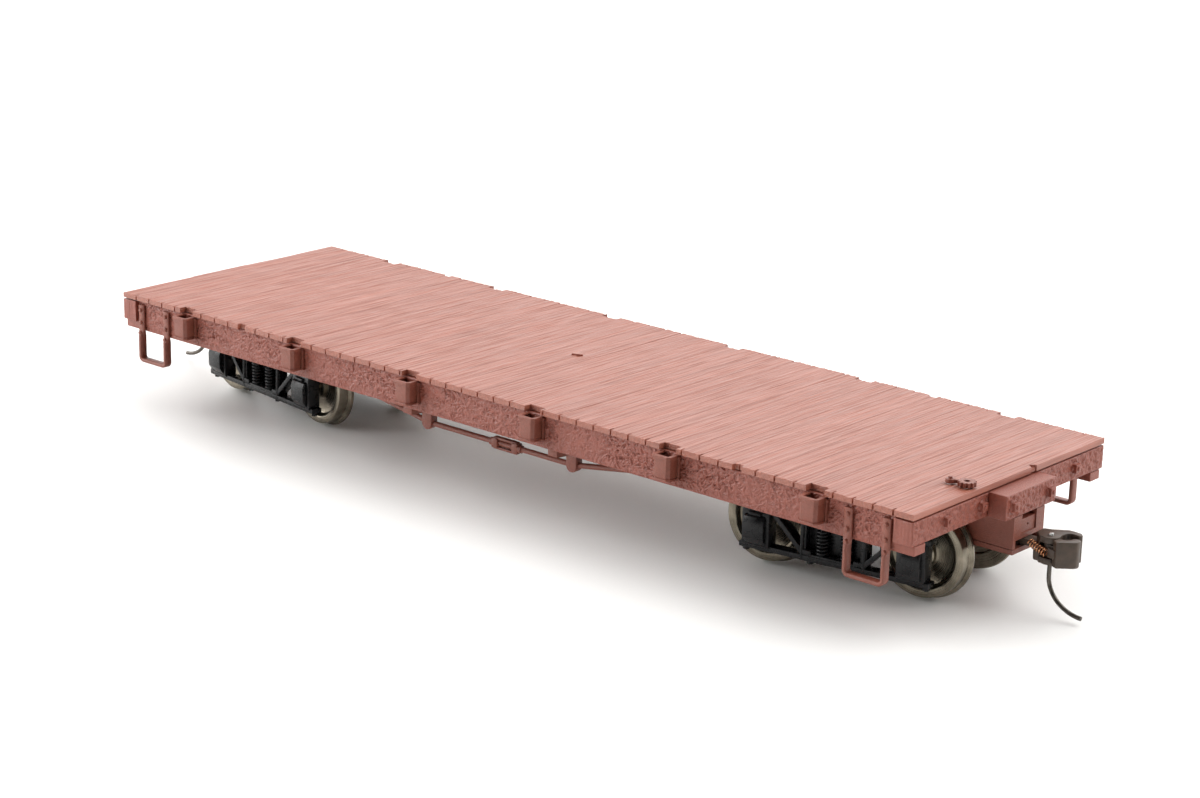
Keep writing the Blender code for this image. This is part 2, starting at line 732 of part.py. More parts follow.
def make_side_frame(name, parent, turn):
    """Archbars, tie bar, columns, journal boxes and springs in one moulding, drawn for the near side."""
    box_half_width = 2.4
    cover_half_width = 1.9
    box_front = -(JOURNAL_OUTER - 0.4)
    box_low = TIE_BAR_BOTTOM + 0.1
    cover_back = -12.5
    journal_hole = AXLE_RADIUS + 0.3
    spring_radius = 1.15
    spring_x = 2.0
    lug_low = TIE_BAR_BOTTOM - 0.6
    outline, windows = side_frame_outline()
    frame = plate(name, "XZ", (-SIDE_FRAME_OUTER, -SIDE_FRAME_INNER), outline, windows)
    journal_boxes = []
    covers = []
    lugs = []
    for side in (-1, 1):
        x = side * AXLE_X
        x_span = (x - box_half_width, x + box_half_width)
        journal_boxes.append((x_span, (box_front, -SIDE_FRAME_INNER), (box_low, BOX_TOP)))
        x_span = (x - cover_half_width, x + cover_half_width)
        covers.append((x_span, (-JOURNAL_OUTER, cover_back), (box_low + 0.7, BOX_TOP - 0.8)))
        x = side * (COLUMN_X - 1.0)
        y_span = (-SIDE_FRAME_OUTER + 0.3, -SIDE_FRAME_INNER - 0.3)
        lugs.append(((x - 0.6, x + 0.6), y_span, (lug_low, TIE_BAR_BOTTOM + 0.7)))
    join(frame, boxes(name + "_journals", journal_boxes), boxes(name + "_covers", covers))
    middle_y = -(SIDE_FRAME_INNER + SIDE_FRAME_OUTER) / 2
    spring_span = (TIE_BAR_BOTTOM + 1.0, SPRING_TOP)
    spring_places = [(-spring_x, middle_y), (spring_x, middle_y)]
    springs = rods(name + "_springs", "Z", spring_span, spring_radius, spring_places, 10)
    join(frame, springs, boxes(name + "_lugs", lugs))
    hole_span = (-AXLE_HALF_LENGTH - 0.3, -SIDE_FRAME_INNER + 1)
    holes = [(-AXLE_X, FLANGE_RADIUS), (AXLE_X, FLANGE_RADIUS)]
    cut(frame, rods(name + "_holes", "Y", hole_span, journal_hole, holes))
    finish_piece(frame, BLACK_PLASTIC, parent, turn)


def make_truck_bolster(letter, parent):
    """Cross beam of a truck, whose ends rest on the springs, with a centre plate and a clear hole."""
    clear_hole = 0.25
    end_half_length = COLUMN_X - COLUMN_WIDTH / 2 - FIT_GAP
    top = ARCH_TOP - BAR_THICKNESS - FIT_GAP
    half = [
        (SIDE_FRAME_OUTER - 0.2, top),
        (SIDE_FRAME_OUTER - 0.2, SPRING_TOP + FIT_GAP + 0.05),
        (SIDE_FRAME_INNER - 0.7, SPRING_TOP + FIT_GAP),
        (6.0, BOLSTER_BOTTOM),
    ]
    x_span = (-end_half_length, end_half_length)
    bolster = plate("truck_bolster_" + letter, "YZ", x_span, mirrored(half))
    centre = [(0, 0)]
    plate_span = (top - 0.3, TRUCK_CENTRE_PLATE_TOP)
    hole_span = (BOLSTER_BOTTOM - 1, TRUCK_CENTRE_PLATE_TOP + 1)
    centre_plate = rods("truck_centre_plate_" + letter, "Z", plate_span, CENTRE_PLATE_RADIUS, centre, 20)
    hole = rods("truck_kingpin_hole_" + letter, "Z", hole_span, KINGPIN_RADIUS + clear_hole, centre)
    join(bolster, centre_plate)
    cut(bolster, hole)
    finish_piece(bolster, BLACK_PLASTIC, parent)


def make_kingpin(letter, turn):
    """Screw that holds the truck to the body bolster; it stays with the body."""
    head_top = BOLSTER_BOTTOM - 0.2
    centre = [(FRAME_CENTRE_X, 0)]
    head_radius = 2.1
    head_height = 1.1
    pin = rods("kingpin_" + letter, "Z", (head_top - 0.3, KINGPIN_TOP), KINGPIN_RADIUS, centre)
    head = rods("kingpin_head_" + letter, "Z", (head_top - head_height, head_top), head_radius, centre, 16)
    join(pin, head)
    finish_piece(pin, STEEL, turn=turn)


def wheel_profile(side, bore):
    """Corners of the wheel on the +Y or -Y side, listed towards -Y round its tread."""
    front = GAUGE_HALF_BACK + WHEEL_WIDTH
    corners = [
        (bore, front - 0.1),
        (2.4, front - 0.1),
        (2.7, front - 0.7),
        (4.9, front - 0.7),
        (5.3, front),
        (TREAD_RADIUS - 0.1, front),
        (TREAD_RADIUS, GAUGE_HALF_BACK + 1.0),
        (FLANGE_RADIUS - 0.15, GAUGE_HALF_BACK + 0.65),
        (FLANGE_RADIUS, GAUGE_HALF_BACK + 0.35),
        (FLANGE_RADIUS - 0.2, GAUGE_HALF_BACK),
        (bore, GAUGE_HALF_BACK),
    ]
    if side > 0:
        return corners
    return [(radius, -along) for radius, along in reversed(corners)]


def make_wheelset(tag, parent):
    """Needle-pointed axle with its fixed wheel, and the insulated wheel on the other side."""
    tip_radius = 0.2
    cone_start = AXLE_HALF_LENGTH - 1.4
    start = [(0, AXLE_HALF_LENGTH), (tip_radius, AXLE_HALF_LENGTH), (AXLE_RADIUS, cone_start)]
    end = [(AXLE_RADIUS, -cone_start), (tip_radius, -AXLE_HALF_LENGTH), (0, -AXLE_HALF_LENGTH)]
    axle = turned("axle_" + tag, start + wheel_profile(1, AXLE_RADIUS) + end, closed=False)
    paint(axle, WHEEL_METAL)
    axle.parent = parent
    wheel = turned("insulated_wheel_" + tag, wheel_profile(-1, AXLE_RADIUS + FIT_GAP), closed=True)
    paint(wheel, WHEEL_METAL)
    wheel.parent = parent


def make_truck(letter, turn):
    sign = 1 if letter == "a" else -1
    pivot_turn = turn + sign * TRUCK_SWIVEL
    truck = add_empty("truck_pivot_" + letter, sign * FRAME_CENTRE_X, 0, 0, pivot_turn)
    for side, side_turn in SIDES:
        make_side_frame(f"side_frame_{letter}_{side}", truck, side_turn - turn)
    make_truck_bolster(letter, truck)
    for number, x in ((1, AXLE_X), (2, -AXLE_X)):
        tag = f"{letter}{number}"
        axle_line = add_empty("axle_line_" + tag, x, 0, FLANGE_RADIUS, parent=truck)
        make_wheelset(tag, axle_line)
    make_kingpin(letter, turn)


# ---- couplers, drawn about the pivot post ----


def from_pivot(points):
    return [(x - COUPLER_PIVOT_X, y) for x, y in points]


def make_coupler(letter, turn):
    """Shank and head in one piece, with the knuckle on its pin and the curved trip wire below."""
    sign = 1 if letter == "a" else -1
    pivot = add_empty("coupler_pivot_" + letter, sign * COUPLER_PIVOT_X, 0, 0, turn)
    knuckle_x, knuckle_y = KNUCKLE_PIN
    shank = plate(
        "coupler_" + letter,
        "XY",
        (SHANK_LOW, SHANK_HIGH),
        from_pivot([(77.6, -1.15), (89.2, -1.15), (89.2, 1.15), (77.6, 1.15)]),
    )
    shank_span = (SHANK_LOW, SHANK_HIGH)
    join(shank, rods("shank_eye_" + letter, "Z", shank_span, 2.3, [(0, 0)], 18))
    head_outline = [
        (88.3, -0.8),
        (89.6, -2.1),
        *arc(KNUCKLE_PIN, 1.4, 245, 380, 8),
        (91.8, 0.2),
        (91.95, 1.2),
        (92.6, 1.75),
        (93.85, 1.55),
        (94.05, 2.1),
        (93.5, 2.75),
        (91.4, 2.85),
        (89.4, 1.4),
        (88.3, 1.0),
    ]
    join(shank, plate("coupler_head_" + letter, "XY", (HEAD_LOW, HEAD_HIGH), from_pivot(head_outline)))
    tang_space = plate(
        "tang_space_" + letter,
        "XY",
        (KNUCKLE_TANG_LOW - 0.15, KNUCKLE_TANG_HIGH + 0.15),
        from_pivot(arc(KNUCKLE_PIN, 1.2, 110, 240, 6) + [(90.0, -4.0), (94.0, -4.0), (94.0, 0.1)]),
    )
    cut(shank, tang_space)
    pin_place = (knuckle_x - COUPLER_PIVOT_X, knuckle_y)
    pin_span = (HEAD_LOW + 0.2, HEAD_HIGH + 0.35)
    join(shank, rods("knuckle_pin_" + letter, "Z", pin_span, KNUCKLE_PIN_RADIUS, [pin_place], 12))
    eye_span = (SHANK_LOW - 1, SHANK_HIGH + 1)
    cut(shank, rods("pivot_hole_" + letter, "Z", eye_span, 1.05, [(0, 0)]))
    finish_piece(shank, BROWN_PLASTIC, pivot)
    make_trip_pin(letter, pivot)
    make_knuckle(letter, pivot)


def make_trip_pin(letter, parent):
    """Bent wire under the head: straight down, then a quarter of an ellipse forward."""
    start_x = 90.3
    arc_centre = (96.2, 6.2)
    arc_half_height = 5.1
    points = [(start_x, HEAD_LOW - FIT_GAP)]
    steps = 10
    for step in range(steps + 1):
        angle = math.radians(88 * step / steps)
        points.append(
            (
                arc_centre[0] - (arc_centre[0] - start_x) * math.cos(angle),
                arc_centre[1] - arc_half_height * math.sin(angle),
            )
        )
    route = [(x - COUPLER_PIVOT_X, 0, z) for x, z in points]
    finish_piece(wire("trip_pin_" + letter, route, TRIP_WIRE_RADIUS), DARK_STEEL, parent)


def make_knuckle(letter, parent):
    """Hooked jaw that swings outward on the pin; its tang runs in the slot of the head."""
    knuckle_x, knuckle_y = KNUCKLE_PIN
    hinge = add_empty("knuckle_hinge_" + letter, knuckle_x - COUPLER_PIVOT_X, knuckle_y, parent=parent)
    jaw_outline = [
        (1.25, -1.4),
        (2.15, -1.9),
        (4.15, -0.25),
        (4.4, 0.4),
        (4.15, 1.15),
        (3.5, 1.4),
        (3.0, 1.25),
        (2.95, 0.6),
        (2.6, 0.0),
        (1.6, -0.3),
    ]
    knuckle = plate("knuckle_" + letter, "XY", (HEAD_LOW + 0.1, HEAD_HIGH - 0.1), jaw_outline)
    tang_span = (KNUCKLE_TANG_LOW, KNUCKLE_TANG_HIGH)
    neck = plate("knuckle_neck_" + letter, "XY", tang_span, [(0, -0.9), (1.7, -1.35), (1.9, -0.4), (0, 0.8)])
    join(knuckle, rods("knuckle_tang_" + letter, "Z", tang_span, 1.0, [(0, 0)], 16), neck)
    hole_span = (HEAD_LOW, HEAD_HIGH)
    cut(knuckle, rods("knuckle_hole_" + letter, "Z", hole_span, KNUCKLE_PIN_RADIUS + 0.08, [(0, 0)], 12))
    finish_piece(knuckle, BROWN_PLASTIC, hinge)


# ---- the whole car ----


def shade_round_pieces():
    """Smooth shading on everything that keeps its corners sharper than 40 degrees."""
    for obj in CAR.objects:
        if obj.type == "MESH":
            obj.data.shade_smooth()
            obj.data.set_sharp_from_angle(angle=math.radians(40))


clear_scene()
CAR = new_collection("model_flat_car")
CUTTERS = new_collection("cutters")
make_deck()
make_side_sills()
make_underframe()
make_brake_fittings()
for end_letter, end_turn in ENDS:
    make_end(end_letter, end_turn)
    make_truck(end_letter, end_turn)
    make_coupler(end_letter, end_turn)
for side_name, side_turn in SIDES:
    make_truss_rod("truss_rod_" + side_name, side_turn)
    for pocket in range(POCKETS_PER_SIDE):
        make_stake_pocket(f"stake_pocket_{side_name}_{pocket + 1}", pocket_x(pocket), side_turn)
    for end_letter, direction in (("a", 1), ("b", -1)):
        step_x = direction * STEP_CENTRE_X * math.cos(side_turn)
        make_step(f"stirrup_step_{side_name}_{end_letter}", step_x, side_turn)
shade_round_pieces()
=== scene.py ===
"""Looks of the model flat car: fine meshes, procedural materials, a pale floor and soft studio light.

Lengths are in millimetres and become metres when a piece is made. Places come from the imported
CAD frame. What repeats at an end or a side is drawn once, for end A or the near side, and turned
half round about Z for the other.
"""

import json
import math

import bmesh
import bpy
import numpy as np
from mathutils import Matrix, Vector


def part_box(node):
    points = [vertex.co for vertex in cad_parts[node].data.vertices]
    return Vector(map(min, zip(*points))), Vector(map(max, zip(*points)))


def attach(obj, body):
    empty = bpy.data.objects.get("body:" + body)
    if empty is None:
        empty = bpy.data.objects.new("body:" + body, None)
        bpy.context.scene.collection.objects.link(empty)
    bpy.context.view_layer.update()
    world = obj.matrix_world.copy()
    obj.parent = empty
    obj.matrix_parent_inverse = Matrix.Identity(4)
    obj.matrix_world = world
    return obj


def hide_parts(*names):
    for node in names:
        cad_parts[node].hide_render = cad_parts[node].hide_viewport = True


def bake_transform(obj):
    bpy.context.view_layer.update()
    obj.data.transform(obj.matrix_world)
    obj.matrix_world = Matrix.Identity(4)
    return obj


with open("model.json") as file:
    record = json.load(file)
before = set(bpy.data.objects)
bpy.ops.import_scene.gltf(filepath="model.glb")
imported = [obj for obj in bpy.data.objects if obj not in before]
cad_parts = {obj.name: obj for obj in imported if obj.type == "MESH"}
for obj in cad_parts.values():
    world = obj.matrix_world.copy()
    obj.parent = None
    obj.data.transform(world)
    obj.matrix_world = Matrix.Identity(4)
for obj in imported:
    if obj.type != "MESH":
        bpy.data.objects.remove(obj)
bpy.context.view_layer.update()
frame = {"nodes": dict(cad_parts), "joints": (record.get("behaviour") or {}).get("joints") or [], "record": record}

MM = 0.001
HALF_TURN = math.pi

# ---- places in millimetres, read from the frame where it has them ----


def span(node):
    """((x0, x1), (y0, y1), (z0, z1)) of a CAD node."""
    low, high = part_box(node)
    return tuple((low[axis] / MM, high[axis] / MM) for axis in range(3))


def joint_named(name):
    return next(item for item in frame["joints"] if item["name"] == name)


def joint_place(name):
    return [value / MM for value in joint_named(name)["pos_m"]]


def truck_turn(letter):
    """How far a truck stands turned about Z at rest, read from the direction of its axle."""
    along = joint_named(f"wheelset_{letter}1_roll")["axis"]
    return math.atan2(-along[0], along[1])


def span_in_truck(node, letter):
    """Span of a truck's node about the truck's pivot, along the truck's own axes."""
    pivot = joint_named(f"truck_{letter}_swivel")["pos_m"]
    centre = Vector((pivot[0], pivot[1], 0.0))
    straight = Matrix.Rotation(-truck_turn(letter), 3, "Z")
    places = np.array([straight @ (vert.co - centre) for vert in frame["nodes"][node].data.vertices]) / MM
    return tuple(zip(places.min(axis=0).tolist(), places.max(axis=0).tolist()))


MOUNTS = {mount["name"]: mount for mount in frame["record"]["mounts"]}
DECK_X, DECK_Y, DECK_Z = span("deck")
DECK_TOP = MOUNTS["deck_top"]["pos_m"][2] / MM
DECK_BOTTOM = DECK_Z[0]
SILL_X, SILL_Y, SILL_Z = span("side_sill_near")
END_X, END_Y, END_Z = span("end_sill_a")
END_FACE = SILL_X[1]
BLOCK_X, BLOCK_Y, BLOCK_Z = span("buffer_block_a")
BLOCK_FACE = MOUNTS["buffer_face_a"]["pos_m"][0] / MM
BOLT_HEIGHT = BLOCK_X[1] - BLOCK_FACE
BOLT_Z = 16.8
ROD_X, ROD_Y, ROD_Z = span("truss_rod_near")
BEAM_X, BEAM_Y, BEAM_Z = span("needle_beam_a")
POST_FOOT = 1.05
STEP_X, _, STEP_Z = span("stirrup_step_near_a")
FRAME_X, FRAME_Y, FRAME_Z = span_in_truck("side_frame_a_near", "a")
BOX_TOP = 9.8
TRUCK_X = joint_place("truck_a_swivel")[0]
AXLE_Z = joint_place("wheelset_a1_roll")[2]
AXLE_X = math.dist(joint_place("wheelset_a1_roll")[:2], joint_place("truck_a_swivel")[:2])
HEAD_Z = span("coupler_a")[2]
KNUCKLE_PIN = joint_place("knuckle_a_open")
TRIP_X, TRIP_Y, TRIP_Z = span("trip_pin_a")

PLANKS = 49
PLANK_PITCH = (DECK_X[1] - DECK_X[0]) / PLANKS
END_NOTCH_Y = (5.0, 6.0)
END_NOTCH_DEPTH = 0.9
POCKETS_PER_SIDE = 6
ENDS = (("a", 0.0), ("b", HALF_TURN))
SIDES = (("near", 0.0), ("far", HALF_TURN))


# ---- noise for relief ----

NOISE_TABLES = {}


def noise(u, v, seed):
    """Smooth noise from -1 to 1 with features one unit apart, the same each run."""
    size_u, size_v = 1024, 128
    if seed not in NOISE_TABLES:
        NOISE_TABLES[seed] = np.random.default_rng(seed).uniform(-1.0, 1.0, (size_u, size_v))
    table = NOISE_TABLES[seed]
    low_u = np.floor(u).astype(int)
    low_v = np.floor(v).astype(int)
    share_u = u - low_u
    share_v = v - low_v
    share_u = share_u * share_u * (3 - 2 * share_u)
    share_v = share_v * share_v * (3 - 2 * share_v)

    def corner(step_u, step_v):
        return table[(low_u + step_u) % size_u, (low_v + step_v) % size_v]

    near = corner(0, 0) * (1 - share_u) + corner(1, 0) * share_u
    far = corner(0, 1) * (1 - share_u) + corner(1, 1) * share_u
    return near * (1 - share_v) + far * share_v


# In the reliefs below, the coordinates are divided by the size of the features in millimetres.


def wood_grain(across, along, seed):
    """Relief of sawn timber, from about -1 to 1: fine lines that run along the grain."""
    waver = 0.1 * noise(across / 3.0, along / 12.0, seed)
    coarse = noise((across + waver) / 0.31, along / 11.0, seed + 1)
    fine = noise((across + waver) / 0.18, along / 6.0, seed + 2)
    return 0.55 * coarse + 0.45 * fine


def crinkle(along, up, seed):
    """Relief of coarse hewn timber, from about -1 to 1: thin creases in slanting directions, and pits."""
    slants = (0.75, -0.6, 0.15, -1.1)
    sharpness = 5.0
    warp = 0.35 * noise(along / 1.2, up / 1.2, seed)
    total = np.full(np.shape(along), -0.5)
    for number, slant in enumerate(slants):
        across = (up * math.cos(slant) - along * math.sin(slant) + warp) / 0.42
        length = (along * math.cos(slant) + up * math.sin(slant)) / 1.4
        ridge = 1 - sharpness * np.abs(noise(across, length, seed + 1 + number))
        total = np.maximum(total, ridge)
    patches = 0.65 + 0.35 * noise(along / 5.0, up / 4.0, seed + 6)
    pits = np.minimum(0.0, noise(along / 0.4, up / 0.4, seed + 7))
    return total * patches + 0.3 * pits


def stipple(along, up, seed):
    """Relief of a peened surface: small round dents."""
    coarse = noise(along / 0.5, up / 0.5, seed)
    fine = noise(along / 0.3, up / 0.3, seed + 1)
    return np.clip(1.6 * (0.55 * coarse + 0.45 * fine), -1.0, 1.0)


# ---- shells: (points in millimetres, faces) ----


def shell_of(shape):
    shape.verts.index_update()
    points = np.array([vert.co[:] for vert in shape.verts])
    faces = [[vert.index for vert in face.verts] for face in shape.faces]
    shape.free()
    return points, faces


def with_soft_edges(shape, radius):
    """The shell of a bmesh, with every edge sharper than 25 degrees rounded off."""
    bmesh.ops.recalc_face_normals(shape, faces=shape.faces)
    sharp = [edge for edge in shape.edges if edge.calc_face_angle(0.0) > math.radians(25)]
    settings = {"segments": 2, "profile": 0.6, "affect": "EDGES", "clamp_overlap": True}
    bmesh.ops.bevel(shape, geom=sharp, offset=radius, **settings)
    return shell_of(shape)


def cuboid(matrix, radius):
    """A unit cube placed and sized by a matrix."""
    shape = bmesh.new()
    bmesh.ops.create_cube(shape, size=1.0, matrix=matrix)
    return with_soft_edges(shape, radius)


def block(x_span, y_span, z_span, radius=0.08):
    spans = (x_span, y_span, z_span)
    centre = [(low + high) / 2 for low, high in spans]
    size = [abs(high - low) for low, high in spans]
    return cuboid(Matrix.Translation(centre) @ Matrix.Diagonal((*size, 1.0)), radius)


def bar(start, end, width, depth):
    """A rectangular bar in the XZ plane: width is measured in that plane, and depth along Y."""
    start, end = Vector(start), Vector(end)
    turn = math.atan2(end.z - start.z, end.x - start.x)
    matrix = Matrix.Translation((start + end) / 2) @ Matrix.Rotation(-turn, 4, "Y")
    return cuboid(matrix @ Matrix.Diagonal(((end - start).length, depth, width, 1.0)), 0.08)


def rod(start, end, radius, end_radius=None, segments=24, edge=0.05):
    """A cylinder or cone between two points."""
    start, end = Vector(start), Vector(end)
    along = end - start
    matrix = Matrix.Translation((start + end) / 2) @ along.to_track_quat("Z", "Y").to_matrix().to_4x4()
    radii = {"radius1": radius, "radius2": radius if end_radius is None else end_radius}
    size = {"segments": segments, "depth": along.length, "matrix": matrix}
    shape = bmesh.new()
    bmesh.ops.create_cone(shape, cap_ends=True, **radii, **size)
    return with_soft_edges(shape, edge)


PLANE_AXES = {"XY": [0, 1], "XZ": [0, 2], "YZ": [1, 2]}


def prism(plane, depth_span, outline, radius=0.08):
    """A flat outline extruded over the span of the axis that its plane leaves out."""
    shape = bmesh.new()
    loops = []
    for depth in depth_span:
        points = np.full((len(outline), 3), float(depth))
        points[:, PLANE_AXES[plane]] = outline
        loops.append([shape.verts.new(point) for point in points])
    start, end = loops
    shape.faces.new(start)
    shape.faces.new(reversed(end))
    count = len(outline)
    for number in range(count):
        after = (number + 1) % count
        shape.faces.new((start[number], start[after], end[after], end[number]))
    return with_soft_edges(shape, radius)


def lathe(profile, segments=96):
    """A closed profile of (radius, place along Y) turned about the Y axis."""
    rings = len(profile)
    angles = 2 * math.pi * np.arange(segments) / segments
    radii = np.array([radius for radius, _ in profile])
    along = np.array([place for _, place in profile])
    x, y, z = np.outer(np.cos(angles), radii), np.tile(along, (segments, 1)), np.outer(np.sin(angles), radii)
    points = np.stack([x, y, z], axis=-1).reshape(-1, 3)
    faces = []
    for turn in range(segments):
        near, far = turn * rings, (turn + 1) % segments * rings
        for ring in range(rings):
            after = (ring + 1) % rings
            faces.append([near + ring, near + after, far + after, far + ring])
    return cleaned(points, faces)


def cleaned(points, faces):
    """The shell with doubled points welded and its faces turned outward."""
    shape = bmesh.new()
    verts = [shape.verts.new(point) for point in points]
    for face in faces:
        shape.faces.new([verts[index] for index in face])
    bmesh.ops.remove_doubles(shape, verts=shape.verts, dist=1e-4)
    bmesh.ops.dissolve_degenerate(shape, edges=shape.edges, dist=1e-5)
    bmesh.ops.recalc_face_normals(shape, faces=shape.faces)
    return shell_of(shape)


def skin(rings):
    """The closed shell over a row of rings of points, with both ends capped."""
    count = len(rings[0])
    points = [point for ring in rings for point in ring]
    last = len(points) - count
    faces = [list(range(count)), [last + index for index in reversed(range(count))]]
    for low in range(0, last, count):
        for index in range(count):
            after = (index + 1) % count
            faces.append([low + index, low + after, low + count + after, low + count + index])
    return cleaned(points, faces)


def direction_at(path, number):
    """Unit vector along a path at one of its points."""
    before = path[max(number - 1, 0)]
    after = path[min(number + 1, len(path) - 1)]
    return (Vector(after) - Vector(before)).normalized()


def wire(path, radius, segments):
    """A round wire along a path."""
    angles = [2 * math.pi * step / segments for step in range(segments)]
    rings = []
    side = None
    for number, point in enumerate(path):
        along = direction_at(path, number)
        if side is None:
            side = along.orthogonal() if abs(along.y) > 0.99 else along.cross(Vector((0, 1, 0)))
        side = (side - along * side.dot(along)).normalized()
        up = along.cross(side)
        across = [(side * math.cos(angle) + up * math.sin(angle)) * radius for angle in angles]
        rings.append([Vector(point) + offset for offset in across])
    return skin(rings)


def helix(start, end, side, up, radius, turns):
    """Points of a coil round the line from start to end. side and up are square to that line."""
    steps = int(turns * 14)
    points = []
    for step in range(steps + 1):
        angle = 2 * math.pi * turns * step / steps
        outward = side * math.cos(angle) + up * math.sin(angle)
        points.append(start.lerp(end, step / steps) + outward * radius)
    return points


def arc(centre, radius, start, end, steps):
    """Points on an arc, with the angles in degrees."""
    angles = [math.radians(start + (end - start) * step / steps) for step in range(steps + 1)]
    return [(centre[0] + radius * math.cos(a), centre[1] + radius * math.sin(a)) for a in angles]


def mirrored(half):
    """A closed outline from its half at u > 0."""
    return half + [(-u, v) for u, v in reversed(half)]


def moved(shell, x=0.0, y=0.0):
    points, faces = shell
    return points + np.array([x, y, 0.0]), faces


def turned(shell, angle):
    """The shell turned about the Z axis through the origin."""
    points, faces = shell
    spin = np.array(Matrix.Rotation(angle, 3, "Z"))
    return points @ spin.T, faces


def grid_quads(index):
    """The four corners of each square of a grid of point numbers."""
    return np.stack([index[:-1, :-1], index[1:, :-1], index[1:, 1:], index[:-1, 1:]], -1).reshape(-1, 4)


def relief_block(x_span, y_span, z_span, step, reliefs, radius=0.1):
    """A rounded box with relief on some faces.

    reliefs maps a face such as "-Y" to a function of the points on it that returns how far they
    stand out. step is the grid's spacing along X, Y and Z. Relief fades to nothing at the edges.
    """
    spans = np.array([x_span, y_span, z_span], float)
    counts = [max(1, round((high - low) / size)) for (low, high), size in zip(spans, step)]
    ticks = []
    for (low, high), count in zip(spans, counts):
        inner = np.linspace(low, high, count + 1)[1:-1]
        ends = [low, low + radius * 0.4, low + radius, high - radius, high - radius * 0.4, high]
        inner = inner[(inner > low + 1.5 * radius) & (inner < high - 1.5 * radius)]
        ticks.append(np.sort(np.concatenate([ends, inner])))
    points, faces, start = [], [], 0
    for axis in range(3):
        first, second = [other for other in range(3) if other != axis]
        grid_u, grid_v = np.meshgrid(ticks[first], ticks[second], indexing="ij")
        rows, columns = grid_u.shape
        index = np.arange(rows * columns).reshape(rows, columns)
        for end in (0, 1):
            sheet = np.empty((rows * columns, 3))
            sheet[:, first], sheet[:, second] = grid_u.ravel(), grid_v.ravel()
            sheet[:, axis] = spans[axis, end]
            name = "-+"[end] + "XYZ"[axis]
            lift = np.zeros(len(sheet))
            if name in reliefs:
                plan = [first, second]
                margins = np.minimum(sheet[:, plan] - spans[plan, 0], spans[plan, 1] - sheet[:, plan])
                lift = reliefs[name](sheet) * np.clip(margins.min(axis=1) / (2 * radius), 0.0, 1.0)
            core = np.clip(sheet, spans[:, 0] + radius, spans[:, 1] - radius)
            outward = sheet - core
            length = np.linalg.norm(outward, axis=1, keepdims=True)
            sheet = core + outward / length * radius
            sheet[:, axis] += lift * (1 if end else -1)
            points.append(sheet)
            faces += (grid_quads(index) + start).tolist()
            start += len(sheet)
    return cleaned(np.concatenate(points), faces)


# ---- pieces ----


def piece(name, shells, material, body, nodes=(), place=(0.0, 0.0, 0.0), spin=0.0, sharp=48):
    """Makes one visible piece from shells and hangs it on a CAD body, if one is given.

    The shells are drawn about place, and spin turns them about Z there.
    """
    points, faces, start = [], [], 0
    for shell_points, shell_faces in shells:
        points.append(shell_points)
        faces += [[index + start for index in face] for face in shell_faces]
        start += len(shell_points)
    mesh = bpy.data.meshes.new(name)
    mesh.from_pydata((np.concatenate(points) * MM).tolist(), [], faces)
    mesh.validate()
    mesh.shade_smooth()
    mesh.set_sharp_from_angle(angle=math.radians(sharp))
    mesh.materials.append(material)
    obj = bpy.data.objects.new(name, mesh)
    obj.location = [value * MM for value in place]
    obj.rotation_euler.z = spin
    bpy.context.scene.collection.objects.link(obj)
    if body:
        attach(obj, body)
    if nodes:
        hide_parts(*nodes)
    return obj


def finish_node(node, material, radius=0.08):
    """A CAD node that stays: it gets its material, and its edges are eased."""
    obj = frame["nodes"][node]
    obj.data.materials.clear()
    obj.data.materials.append(material)
    bevel = obj.modifiers.new("eased_edges", "BEVEL")
    bevel.width = radius * MM
    bevel.segments = 2
    bevel.limit_method = "ANGLE"
    bevel.angle_limit = math.radians(35)
    bevel.harden_normals = True


# ---- materials ----


class Nodes:
    """Short names for building the node tree of a material or a world."""

    def __init__(self, owner, shader="Principled BSDF", place="Object"):
        owner.use_nodes = True
        self.owner = owner
        self.tree = owner.node_tree
        self.shader = self.tree.nodes[shader]
        self.place = self.add("ShaderNodeTexCoord").outputs[place]

    def fill(self, node, inputs):
        """Connects inputs of a node, or sets their values."""
        for key, value in inputs.items():
            if isinstance(value, bpy.types.NodeSocket):
                self.tree.links.new(value, node.inputs[key])
            else:
                node.inputs[key].default_value = value

    def add(self, kind, inputs=None, **settings):
        node = self.tree.nodes.new(kind)
        for key, value in settings.items():
            setattr(node, key, value)
        self.fill(node, inputs or {})
        return node

    def stretched(self, scale):
        return self.add("ShaderNodeMapping", {"Vector": self.place, "Scale": scale}).outputs["Vector"]

    def noise(self, size_mm, detail=3.0, vector=None):
        """Noise with features of about that size."""
        inputs = {"Vector": vector or self.place, "Scale": 1000.0 / size_mm, "Detail": detail}
        return self.add("ShaderNodeTexNoise", inputs).outputs["Fac"]

    def between(self, factor, low, high):
        """The middle range of a noise, spread from low to high."""
        inputs = {"Value": factor, "From Min": 0.3, "From Max": 0.7, "To Min": low, "To Max": high}
        return self.add("ShaderNodeMapRange", inputs).outputs["Result"]

    def mix(self, factor, first, second):
        """A mix of two colours; the first may be another node's."""
        if not isinstance(first, bpy.types.NodeSocket):
            first = (*first, 1.0)
        inputs = {"Factor": factor, 6: first, 7: (*second, 1.0)}
        return self.add("ShaderNodeMix", inputs, data_type="RGBA").outputs[2]

    def bump(self, height, depth_mm):
        inputs = {"Height": height, "Distance": depth_mm * MM, "Strength": 1.0}
        return self.add("ShaderNodeBump", inputs).outputs["Normal"]

    def finish(self, colour, roughness, normal, others):
        """The material, with its shader's inputs filled in."""
        inputs = {"Base Color": colour, "Roughness": roughness, "Normal": normal, **others}
        self.fill(self.shader, inputs)
        return self.owner


